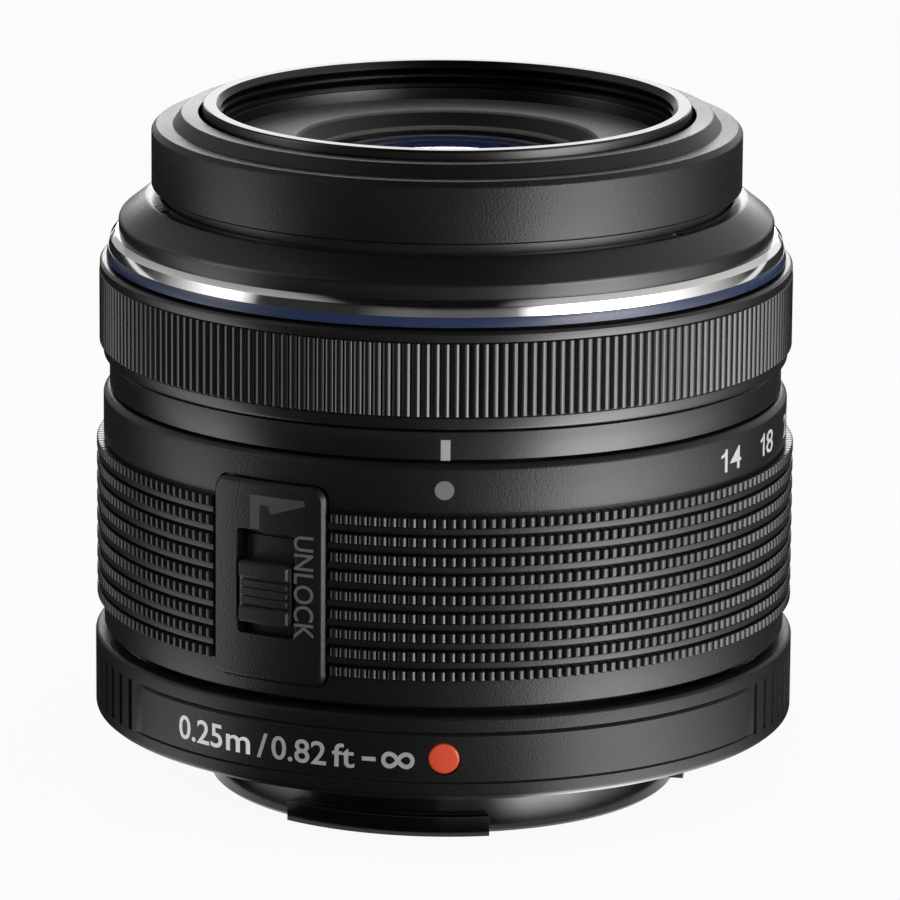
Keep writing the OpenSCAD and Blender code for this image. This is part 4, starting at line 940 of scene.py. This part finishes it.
# %% Focus ring
z_focus0, z_focus1 = heights("focus_ring")
focus_r = 27.5
focus_bore = 26.4
RIB_RISE = 0.36
BROW_RISE = 0.32
BROW_CHAMFER = 0.22
rib_r = focus_r + RIB_RISE
brow_top = focus_r + BROW_RISE
z_rib0 = z_focus0 + 1.0
z_rib1 = z_focus1 - 0.82
focus_ring = lathe("focus_ring_dressed", [
    (focus_bore, z_focus0), (focus_r - 0.1, z_focus0, 0.06), (focus_r + 0.02, z_focus0 + 0.14, 0.06),
    (focus_r + 0.10, z_rib0 - 0.04, 0.05), (focus_r - 0.06, z_rib0), (focus_r - 0.06, z_rib1),
    (brow_top, z_rib1, 0.04), (brow_top, z_focus1 - BROW_CHAMFER, 0.05),
    (brow_top - BROW_CHAMFER, z_focus1, 0.05), (focus_bore, z_focus1)])
hand_over(focus_ring, SMOOTH, "focus_ring")

# %% [markdown]
# The grip has 230 fine ribs. One rib is drawn as a small section with a rounded back, raised to its height,
# and its ends are eased. Spin can also copy, so it sets the ribs round the ring in one step. A bump would be
# quicker, but the ribs break the outline and catch the side light.

# %% Rib helpers
MID_WIDTH = 0.45
MID_DROP = 0.22


def copies_round(piece, count, start, span):
    """Copy what is modelled at azimuth 0 to count places over a span of degrees, in edit mode."""
    bpy.ops.mesh.select_all(action="SELECT")
    bpy.ops.mesh.spin(
        steps=count - 1, angle=-math.radians(span), center=(0, 0, 0), axis=(0, 0, 1), dupli=True)
    bpy.ops.object.mode_set(mode="OBJECT")
    piece.rotation_euler.z = math.radians(start)
    select_only(piece)
    bpy.ops.object.transform_apply(location=True, rotation=True, scale=True)


def rib(name, half_root, half_tip, r_root, r_flank, r_tip, z0, z1, ease):
    """One upright rib on the camera's side, with a rounded back and eased ends, left in edit mode."""
    half_mid = half_tip + MID_WIDTH * (half_root - half_tip)
    r_mid = r_tip - MID_DROP * (r_tip - r_flank)
    piece = sketch(name, [
        (-half_root, -r_root), (-half_root, -r_flank), (-half_mid, -r_mid), (-half_tip, -r_tip),
        (half_tip, -r_tip), (half_mid, -r_mid), (half_root, -r_flank), (half_root, -r_root)])
    bpy.ops.object.mode_set(mode="OBJECT")
    for vertex in piece.data.vertices:
        vertex.co = (vertex.co.x, vertex.co.z, z0 * MM)
    bpy.ops.object.mode_set(mode="EDIT")
    bpy.ops.mesh.select_all(action="SELECT")
    bpy.ops.mesh.extrude_region_move(TRANSFORM_OT_translate={"value": (0, 0, (z1 - z0) * MM)})
    bpy.ops.mesh.select_all(action="SELECT")
    bpy.ops.mesh.normals_make_consistent(inside=False)
    bpy.ops.object.mode_set(mode="OBJECT")
    for edge in piece.data.edges:
        ends = [piece.data.vertices[v].co for v in edge.vertices]
        flat = abs(ends[0].z - ends[1].z) < NEAR
        edge.select = flat and max(e.y for e in ends) < -(r_flank - 0.001) * MM
    bpy.ops.object.mode_set(mode="EDIT")
    bpy.ops.mesh.select_mode(type="EDGE")
    bpy.ops.object.mode_set(mode="OBJECT")
    bpy.ops.object.mode_set(mode="EDIT")
    bpy.ops.mesh.bevel(offset=ease * MM, segments=1, affect="EDGES")
    return piece


def join(piece, *others):
    """Make one mesh of several pieces."""
    select_only(piece)
    for other in others:
        other.select_set(True)
    if others:
        bpy.ops.object.join()
    bpy.ops.object.shade_smooth_by_angle(angle=SMOOTH_ANGLE)


print("a rib's back is rounded at", MID_WIDTH, "of the way from its tip's width to its root's")

# %% Focus ribs
RIBS = 230
RIB_ROOT = 0.36
RIB_TIP = 0.06
RIB_BACK = 0.17
RIB_EASE = 0.08
ribs = rib("focus_ribs", RIB_ROOT, RIB_TIP, focus_r - 0.15, rib_r - RIB_BACK, rib_r,
           z_rib0 + 0.04, z_rib1 - 0.06, RIB_EASE)
copies_round(ribs, RIBS, 0, 360 * (RIBS - 1) / RIBS)
hand_over(ribs, GRIP, body="focus")

# %% [markdown]
# The index ring is a narrow plain band between the two grips.

# %% Index ring
z_index0, z_index1 = heights("index_ring")
index_r = reach_of("index_ring")
index_ring = lathe("index_ring_dressed", [
    (sleeve_r, z_index0), (index_r, z_index0, 0.1), (index_r, z_index1, 0.1), (sleeve_r, z_index1)])
hand_over(index_ring, SMOOTH, "index_ring")

# %% [markdown]
# The zoom ring carries nine rows of pegs. Between the rows run narrow smooth lands, and a thin dark groove
# parts each land from the next row. The lands are part of the turned section, and the pegs come later.

# %% Zoom ring body
ROWS = 9
ROW_PITCH = 1.525
PEG_H = 0.78
LAND_H = 0.49
LAND_RISE = 0.46
CHANNEL_DEPTH = 0.25
ZOOM_BROW = 0.4
ROWS_BELOW = 4.17
z_zoom0, z_zoom1 = heights("zoom_ring")
peg_r = reach_of("zoom_ring")
zoom_r = 27.55
land_r = zoom_r + LAND_RISE
channel_r = zoom_r - CHANNEL_DEPTH
zoom_bore = 25.5
z_row = z_zoom1 - ROWS_BELOW
outline = [(zoom_bore, z_zoom1), (zoom_r - ZOOM_BROW, z_zoom1, 0.1), (zoom_r, z_zoom1 - ZOOM_BROW, 0.15),
           (zoom_r, z_row + 0.26, 0.05), (channel_r, z_row + 0.22)]
for row in range(ROWS - 1):
    z_peg_foot = z_row - row * ROW_PITCH - PEG_H
    outline += [(channel_r, z_peg_foot), (land_r, z_peg_foot - 0.02, 0.05),
                (land_r, z_peg_foot - LAND_H, 0.05), (channel_r, z_peg_foot - LAND_H - 0.02)]
z_last = z_row - (ROWS - 1) * ROW_PITCH - PEG_H
outline += [(channel_r, z_last - 0.02), (zoom_r, z_last - 0.04, 0.03),
            (zoom_r, z_zoom0 + 0.14, 0.06), (zoom_r - 0.14, z_zoom0, 0.05), (zoom_bore, z_zoom0)]
zoom_ring = lathe("zoom_ring_dressed", outline)
print("corners in the zoom ring's section:", len(outline))

# %% [markdown]
# The lock panel is a plate that follows the ring. It is easier to draw such a plate flat and to bend it
# afterwards: a plane with rounded corners is thickened, its edges are eased, it is sliced into narrow strips
# and a bend modifier wraps it round the axis. The same helpers serve the pocket, the slider and the print.

# %% Flat plates and wrapping
SLICE_MM = 0.6


def plate(name, x_mid, width, z0, z1, corner, r_in, r_out):
    """A rounded plate drawn flat in front of the barrel, between two radii."""
    bpy.ops.object.select_all(action="DESELECT")
    bpy.ops.mesh.primitive_plane_add(
        size=1, location=(x_mid * MM, -r_out * MM, (z0 + z1) / 2 * MM), rotation=(math.pi / 2, 0, 0))
    piece = bpy.context.object
    piece.name = name
    piece.scale = (width * MM, (z1 - z0) * MM, 1)
    bpy.ops.object.transform_apply(location=True, rotation=True, scale=True)
    bpy.ops.object.mode_set(mode="EDIT")
    bpy.ops.mesh.select_all(action="SELECT")
    bpy.ops.mesh.bevel(offset=corner * MM, segments=6, affect="VERTICES")
    bpy.ops.mesh.select_all(action="SELECT")
    bpy.ops.mesh.extrude_region_move(TRANSFORM_OT_translate={"value": (0, (r_out - r_in) * MM, 0)})
    bpy.ops.mesh.select_all(action="SELECT")
    bpy.ops.mesh.normals_make_consistent(inside=False)
    bpy.ops.object.mode_set(mode="OBJECT")
    return piece


def ease_edges(piece, width, segments=2, angle=40):
    select_only(piece)
    bevel = piece.modifiers.new("ease", "BEVEL")
    bevel.width = width * MM
    bevel.segments = segments
    bevel.limit_method = "ANGLE"
    bevel.angle_limit = math.radians(angle)
    bpy.ops.object.modifier_apply(modifier=bevel.name)


def wrap(piece, radius):
    """Bend a flat piece, drawn in front of the barrel, round the axis at the given radius."""
    select_only(piece)
    spread = [v.co.x for v in piece.data.vertices]
    low, high = min(spread), max(spread)
    bpy.ops.object.mode_set(mode="EDIT")
    for step in range(1, math.ceil((high - low) / (SLICE_MM * MM))):
        bpy.ops.mesh.select_all(action="SELECT")
        bpy.ops.mesh.bisect(plane_co=(low + step * SLICE_MM * MM, 0, 0), plane_no=(1, 0, 0))
    bpy.ops.object.mode_set(mode="OBJECT")
    bpy.context.scene.cursor.location = (0, -radius * MM, 0)
    bpy.ops.object.origin_set(type="ORIGIN_CURSOR")
    bpy.context.scene.cursor.location = (0, 0, 0)
    bend = piece.modifiers.new("bend", "SIMPLE_DEFORM")
    bend.deform_method = "BEND"
    bend.deform_axis = "Z"
    bend.angle = (high - low) / (radius * MM)
    bpy.ops.object.modifier_apply(modifier=bend.name)
    bpy.ops.object.transform_apply(location=True, rotation=True, scale=True)
    bpy.ops.object.shade_smooth_by_angle(angle=SMOOTH_ANGLE)
    return piece


def along(angle, radius):
    """Where an azimuth lies on the flat drawing of a given radius."""
    return math.radians(angle) * radius


print("wrapped pieces have slices of", SLICE_MM, "mm")

# %% [markdown]
# The panel lies in a pocket of the zoom ring and has a window for the slider. Behind the window a slit lets
# the slider's stem through, and inside the ring there is room for the pawl. All are plates that are cut away.

# %% Lock panel and its pocket
LOCK_ANGLE = -29.4
PANEL_W = 10.2
PANEL_CORNER = 1.15
WINDOW_W = 5.3
PANEL_CHAMFER = 0.34
PANEL_RISE = 0.7
WINDOW_INSET = 3.5
z_panel0, z_panel1 = heights("lock_panel")
panel_r = zoom_r + PANEL_RISE
pocket_r = 27.0
z_window0 = z_panel0 + WINDOW_INSET
z_window1 = z_panel1 - WINDOW_INSET
lock_x = along(LOCK_ANGLE, panel_r)
pocket = plate("pocket", lock_x, PANEL_W + 0.3, z_panel0 - 0.35, z_panel1 + 0.50, PANEL_CORNER,
               pocket_r, panel_r + 1)
cut_away(zoom_ring, wrap(pocket, panel_r))

# %% Slit, room for the pawl, and panel
STEM_W = 2.0
LOCK_GAP = 0.3
LOCK_TRAVEL = 2.4
PAWL_ROOM_W = 4.0
PAWL_ROOM_R = 26.7
z_knob0, z_knob1 = heights("lock_slider")
z_stem0 = z_knob0 + 1
z_stem1 = z_knob1 - 1
slit = plate("stem_slit", lock_x, STEM_W + 2 * LOCK_GAP, z_stem0 - LOCK_GAP, z_stem1 + LOCK_TRAVEL + LOCK_GAP,
             0.2, PAWL_ROOM_R - 0.5, pocket_r + 0.5)
cut_away(zoom_ring, wrap(slit, panel_r))
room_for_pawl = plate("pawl_room", lock_x, PAWL_ROOM_W, z_zoom0 - 0.5, heights("lock_spring")[1] + 0.1,
                      0.2, zoom_bore - 0.5, PAWL_ROOM_R)
cut_away(zoom_ring, wrap(room_for_pawl, panel_r))
panel = plate("lock_panel_dressed", lock_x, PANEL_W, z_panel0 - 0.25, z_panel1 + 0.40, PANEL_CORNER,
              pocket_r + 0.28, panel_r)
ease_edges(panel, PANEL_CHAMFER, 1)
window = plate("window", lock_x, WINDOW_W, z_window0, z_window1, 0.5, pocket_r - 1, panel_r + 1)
cut_away(panel, window)
ease_edges(panel, 0.07, 2)
hand_over(wrap(panel, panel_r), SATIN, "lock_panel")
hand_over(zoom_ring, SATIN, "zoom_ring")

# %% [markdown]
# The pegs are short ribs, nine over each other. One column is joined into one mesh and copied round the ring
# by spin, and the first and the last column keep a little off the panel.

# %% Zoom ring pegs
PEG_COLUMNS = 228
PEG_ROOT = 0.36
PEG_TIP = 0.07
PEG_BACK = 0.17
PEG_EASE = 0.07
OFF_PANEL = 0.85
peg_step = 360 / PEG_COLUMNS
panel_half = math.degrees(PANEL_W / 2 / panel_r)
free_span = 360 - 2 * (panel_half + OFF_PANEL * peg_step)
columns = round(free_span / peg_step) + 1
rows = []
for row in range(ROWS):
    z_peg = z_row - row * ROW_PITCH
    peg = rib("peg", PEG_ROOT, PEG_TIP, channel_r - 0.1, peg_r - PEG_BACK, peg_r,
              z_peg - PEG_H - 0.01, z_peg, PEG_EASE)
    bpy.ops.object.mode_set(mode="OBJECT")
    rows.append(peg)
pegs = rows[0]
pegs.name = "zoom_pegs"
join(pegs, *rows[1:])
bpy.ops.object.mode_set(mode="EDIT")
copies_round(pegs, columns, LOCK_ANGLE + panel_half + OFF_PANEL * peg_step, free_span)
hand_over(pegs, PEG, body="zoom")
print("peg columns:", columns)

# %% [markdown]
# The lock slider is a small knob with a raised block at each end. Between them lie three lower, narrower
# blocks, and the fine grooves that part them give the thumb a hold. It moves up and down in the panel's
# window, so it rides on the lock. A thin apron behind it slides under the panel and keeps the slit for its
# stem covered.

# %% Lock slider
KNOB_W = 4.7
KNOB_R = 28.8
APRON_REACH = LOCK_TRAVEL + 0.45
knob_x = along(LOCK_ANGLE, KNOB_R)
knob = plate("lock_slider_dressed", knob_x, KNOB_W, z_knob0, z_knob1, 0.4, pocket_r + 0.15, KNOB_R - 0.4)
ease_edges(knob, 0.1)
HIGH_BLOCK = (KNOB_W - 0.2, KNOB_R, 0.17)
LOW_BLOCK = (KNOB_W - 0.5, KNOB_R - 0.16, 0.05)
BLOCKS = [(0.06, 1.30, *HIGH_BLOCK), (1.46, 2.10, *LOW_BLOCK), (2.15, 2.79, *LOW_BLOCK),
          (2.84, 3.44, *LOW_BLOCK), (3.60, 4.84, *HIGH_BLOCK)]
blocks = [plate("stem", knob_x, STEM_W, z_stem0, z_stem1, 0.2, PAWL_ROOM_R - 0.2, pocket_r + 0.3),
          plate("apron", knob_x, KNOB_W, z_stem0 - APRON_REACH, z_stem1 + APRON_REACH, 0.3,
                pocket_r + 0.05, pocket_r + 0.20)]
for low, high, width, top, ease in BLOCKS:
    block = plate("block", knob_x, width, z_knob0 + low, z_knob0 + high, 0.2, KNOB_R - 0.6, top)
    ease_edges(block, ease, 1)
    blocks.append(block)
join(knob, *blocks)
hand_over(wrap(knob, KNOB_R), SLIDER, "lock_slider")

# %% [markdown]
# The lock's spring has to shorten when the lock slides up, and a piece of the frame can't change its shape.
# So a copy of the coil stands for it.

# %% Lock spring
select_only(frame["nodes"]["lock_spring"])
bpy.ops.object.duplicate()
spring = bpy.context.object
for mark in list(spring.keys()):
    del spring[mark]
spring.name = "lock_spring_dressed"
hand_over(close_up(spring), STEEL, "lock_spring")
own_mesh(spring)

# %% [markdown]
# The base ring is turned too. Its section has extra corners on the straight wall, where the grooves will be.

# %% Base ring
BASE_STEPS = 288
z_base0, z_base1 = heights("base_ring")
base_r = reach_of("base_ring")
base_bore = 26.9
z_low_line = z_base0 + 1.30
z_high_line = z_base1 - 1.30
z_grip0 = z_low_line - 0.14
z_grip1 = z_high_line + 0.02
z_track = z_base1 - 1.2
base_ring = lathe("base_ring_dressed", [
    (base_bore, z_base0), (base_r - 0.36, z_base0, 0.06), (base_r - 0.07, z_base0 + 0.24, 0.06),
    (base_r, z_base0 + 0.44, 0.08), (base_r, z_grip0), (base_r, z_low_line - 0.1), (base_r, z_low_line),
    (base_r, z_low_line + 0.12), (base_r, z_high_line - 0.24), (base_r, z_grip1),
    (base_r, z_high_line + 0.04), (base_r, z_high_line + 0.10), (base_r, z_base1 - 0.22, 0.1),
    (base_r - 0.22, z_base1, 0.08),
    (base_bore + 0.05, z_base1), (base_bore + 0.05, z_track),
    (25.8, z_track), (25.8, z_track - 0.6), (base_bore, z_track - 0.6)], BASE_STEPS)
print("base ring's wall from", round(z_base0, 2), "to", round(z_base1, 2), "mm")

# %% [markdown]
# Two fine grooves frame the band at the front and the back of the base ring. Each is a circle of the turned
# section, drawn in towards the axis over a part of the turn, so it runs out softly at both ends. The grip
# grooves at the sides are insets of single columns of faces. Both need a way to select by place.

# %% Base ring grooves
BAND_HALF = 60
GROOVES = 16
FACES_PER_GROOVE = 3
GROOVE_EDGE = 0.04
GROOVE_DEPTH = 0.4
SAME_LEVEL = 1e-6
SKIN = 0.02
face_step = 360 / BASE_STEPS


def from_front(middle):
    """Degrees between a place and the middle of the nearer band, front or back."""
    return math.degrees(math.atan2(abs(middle.x), abs(middle.y)))


def select_where(piece, kind, test):
    """Select the vertices or faces of a piece whose middle passes a test, and stay in edit mode."""
    select_only(piece)
    bpy.ops.object.mode_set(mode="EDIT")
    bpy.ops.mesh.select_mode(type=kind)
    bpy.ops.mesh.select_all(action="DESELECT")
    bpy.ops.object.mode_set(mode="OBJECT")
    if kind == "VERT":
        for vertex in piece.data.vertices:
            vertex.select = test(vertex.co)
    else:
        for face in piece.data.polygons:
            face.select = test(face.center)
    bpy.ops.object.mode_set(mode="EDIT")


def draw_in(piece, z, depth):
    """Pull the circle at one height towards the axis, over the front and the back band."""
    select_where(piece, "VERT", lambda v: from_front(v) < BAND_HALF and abs(v.z - z * MM) < SAME_LEVEL
                 and math.hypot(v.x, v.y) > (base_r - SKIN) * MM)
    share = 1 - depth / base_r
    bpy.ops.transform.resize(value=(share, share, 1), center_override=(0, 0, 0))
    bpy.ops.object.mode_set(mode="OBJECT")


def in_groove(middle):
    """Tell whether a face of the wall lies in one of the side grooves."""
    side = from_front(middle) - 90 if middle.y < 0 else 90 - from_front(middle)
    place = side / face_step + GROOVES * FACES_PER_GROOVE / 2
    inside = 0 <= place < GROOVES * FACES_PER_GROOVE
    outside = math.hypot(middle.x, middle.y) > (base_r - SKIN) * MM
    on_band = z_grip0 * MM < middle.z < z_grip1 * MM
    return inside and outside and on_band and int(place) % FACES_PER_GROOVE == 1


for z_circle, depth in ((z_high_line + 0.04, 0.30), (z_grip1, 0.29), (z_low_line, 0.14)):
    draw_in(base_ring, z_circle, depth)
select_where(base_ring, "FACE", in_groove)
bpy.ops.mesh.inset(thickness=GROOVE_EDGE * MM, depth=-GROOVE_DEPTH * MM)
bpy.ops.object.mode_set(mode="OBJECT")
print("side grooves:", 2 * GROOVES)

# %% [markdown]
# The red index dot is a domed bead of enamel in a shallow round seat. A cylinder cuts the seat, and the bead
# is a disc, raised and rounded at its rim.

# %% Seat of the index dot
DOT_D = 2.50
DOT_X = 0.12
SEAT_GAP = 0.08
SEAT_CUTTER = 2
SEAT_DEPTH = 0.35
z_dot = sum(heights("index_dot")) / 2
bpy.ops.object.select_all(action="DESELECT")
bpy.ops.mesh.primitive_cylinder_add(
    vertices=48, radius=(DOT_D / 2 + SEAT_GAP) * MM, depth=SEAT_CUTTER * MM, rotation=(math.pi / 2, 0, 0),
    location=(DOT_X * MM, -(base_r + SEAT_CUTTER / 2 - SEAT_DEPTH) * MM, z_dot * MM))
cut_away(base_ring, bpy.context.object)
hand_over(base_ring, BASE, "base_ring")

# %% Index dot
DOT_FOOT = 0.6
DOT_H = 0.58
DOT_ROUND = 0.26
bpy.ops.object.select_all(action="DESELECT")
bpy.ops.mesh.primitive_circle_add(
    vertices=48, radius=DOT_D / 2 * MM, fill_type="NGON", rotation=(math.pi / 2, 0, 0),
    location=(DOT_X * MM, -(base_r - DOT_FOOT) * MM, z_dot * MM))
dot = bpy.context.object
dot.name = "index_dot_dressed"
bpy.ops.object.transform_apply(location=True, rotation=True, scale=True)
bpy.ops.object.mode_set(mode="EDIT")
bpy.ops.mesh.select_all(action="SELECT")
bpy.ops.mesh.extrude_region_move(TRANSFORM_OT_translate={"value": (0, -DOT_H * MM, 0)})
bpy.ops.mesh.bevel(offset=DOT_ROUND * MM, segments=3, affect="EDGES")
bpy.ops.object.mode_set(mode="OBJECT")
hand_over(close_up(dot), RED, "index_dot")

# %% [markdown]
# The print: focal numbers on the zoom ring, a bar and a dot to read them by, the arrow and the word
# beside the lock, and the focusing range on the base ring. Text is made a mesh first, set upright in front
# of the barrel, and then wrapped like the panel. It stands a hair proud, as thick screen print does.

# %% Print helpers
PRINT_T = 0.02
ONE = [(0.50, 0), (0.84, 0), (0.84, 1.84), (0.62, 1.84), (0.45, 1.58), (0, 1.42), (0, 1.19), (0.50, 1.30)]


def flat_words(words, x0, x1, z0, z1, radius, thick=0.012, turn=0):
    """Lettering fitted into a box of the flat drawing, in front of the barrel."""
    bpy.ops.object.select_all(action="DESELECT")
    bpy.ops.object.text_add(location=(0, 0, 0))
    text = bpy.context.object
    text.data.body = words
    text.data.offset = thick
    text.data.extrude = 0.1
    text.data.resolution_u = 4
    bpy.ops.object.convert(target="MESH")
    piece = bpy.context.object
    piece.rotation_euler = (math.pi / 2, math.radians(turn), 0)
    bpy.ops.object.transform_apply(location=True, rotation=True, scale=True)
    spots = [v.co for v in piece.data.vertices]
    low = Vector([min(spot[axis] for spot in spots) for axis in range(3)])
    high = Vector([max(spot[axis] for spot in spots) for axis in range(3)])
    piece.scale = ((x1 - x0) * MM / (high.x - low.x), PRINT_T * MM / (high.y - low.y),
                   (z1 - z0) * MM / (high.z - low.z))
    piece.location = Vector((x0, -radius - PRINT_T / 2, z0)) * MM - Vector(
        (low.x * piece.scale.x, (low.y + high.y) / 2 * piece.scale.y, low.z * piece.scale.z))
    bpy.ops.object.transform_apply(location=True, rotation=True, scale=True)
    return piece


def flat_mark(name, outline, radius):
    """A printed mark from its outline in the flat drawing."""
    piece = sketch(name, outline)
    bpy.ops.mesh.extrude_region_move(TRANSFORM_OT_translate={"value": (0, -PRINT_T * MM, 0)})
    bpy.ops.mesh.select_all(action="SELECT")
    bpy.ops.mesh.normals_make_consistent(inside=False)
    bpy.ops.object.mode_set(mode="OBJECT")
    piece.location.y = -radius * MM
    bpy.ops.object.transform_apply(location=True, rotation=True, scale=True)
    return piece


def print_on(name, pieces, radius, finish, body):
    """Join flat marks into one print, wrap it round the barrel and let it ride there."""
    first = pieces[0]
    join(first, *pieces[1:])
    first.name = name
    return hand_over(wrap(first, radius), finish, body=body)


print("print stands", PRINT_T, "mm proud")

# %% Numbers of the zoom scale
DIGIT_W = 1.6
DIGIT_STEP = 1.85
DIGIT_H = 1.84
AFTER_ONE = 1.27
z_digits = z_zoom1 - 3.16


def digit(sign, x):
    if sign == "1":
        return flat_mark("one", [(x + across, z_digits + up) for across, up in ONE], zoom_r)
    return flat_words(sign, x, x + DIGIT_W, z_digits, z_digits + DIGIT_H, zoom_r, thick=0.002)


for words, start in (("14", 51.9), ("18", 65.1), ("25", 79.5), ("35", 92.5), ("42", 105)):
    x = along(start, zoom_r)
    gap = AFTER_ONE if words[0] == "1" else DIGIT_STEP
    marks = [digit(words[0], x), digit(words[1], x + gap)]
    print_on("zoom_number_" + words, marks, zoom_r, SCALE_WHITE, "zoom")

# %% Index marks and the mould line
BAR_W = 0.74
BAR_X = 0.06
z_bar = z_index1 - 0.65
bar = [(BAR_X - BAR_W / 2, z_index0), (BAR_X + BAR_W / 2, z_index0), (BAR_X + BAR_W / 2, z_bar),
       (BAR_X - BAR_W / 2, z_bar)]
print_on("index_bar", [flat_mark("bar", bar, index_r)], index_r, PALE, "body")
ZOOM_DOT_R = 0.75
z_zoom_dot = z_zoom1 - 2.03
circle = [math.radians(angle) for angle in range(0, 360, 10)]
disc = [(ZOOM_DOT_R * math.cos(a), z_zoom_dot + ZOOM_DOT_R * math.sin(a)) for a in circle]
print_on("zoom_dot", [flat_mark("disc", disc, zoom_r)], zoom_r, GREY, "zoom")
seam_x = along(14.1, zoom_r)
seam = [(seam_x, z_row + 0.3), (seam_x + 0.05, z_row + 0.3), (seam_x + 0.05, z_zoom1 - 0.5),
        (seam_x, z_zoom1 - 0.5)]
print_on("mould_line", [flat_mark("seam", seam, zoom_r)], zoom_r, DIM, "zoom")

# %% Marks on the lock panel
stem_x = along(-32.2, panel_r)
stem_w = 0.87
z_arrow = z_window1 + 0.12
z_tip = z_arrow + 2.7
arrow = [(stem_x, z_arrow), (stem_x + stem_w, z_arrow), (stem_x + stem_w, z_arrow + 1.95),
         (stem_x + stem_w + 0.75, z_arrow + 1.95), (stem_x + stem_w + 1.0, z_arrow + 1.3),
         (stem_x + 4.85, z_tip - 0.42), (stem_x + 4.75, z_tip), (stem_x, z_tip)]
print_on("lock_arrow", [flat_mark("arrow", arrow, panel_r)], panel_r, DIM, "zoom")
word = flat_words("UNLOCK", along(-24.3, panel_r), along(-20.9, panel_r), z_panel0 + 3.65, z_panel1 - 3.5,
                  panel_r, thick=0.009, turn=90)
print_on("lock_word", [word], panel_r, SOFT_GREY, "zoom")

# %% Focusing range on the base ring
z_line = z_low_line + 0.93


def base_words(words, start, end, low, high):
    return flat_words(words, along(start, base_r), along(end, base_r), z_line + low, z_line + high, base_r)


metres = [base_words("0.25", -47.3, -37.7, 0, 1.95), base_words("m", -36.9, -32.2, 0.02, 1.36)]
print_on("focus_range_metres", metres, base_r, WHITE, "body")
feet = [base_words("/", -30.9, -28.9, -0.06, 1.95), base_words("0.82", -28.2, -18.7, 0, 1.92),
        base_words("ft", -17.7, -14.0, 0, 1.92), base_words("-", -12.8, -10.6, 0.69, 1.02),
        base_words("∞", -9.7, -4.4, 0.17, 1.52)]
print_on("focus_range_feet", feet, base_r, PALE, "body")
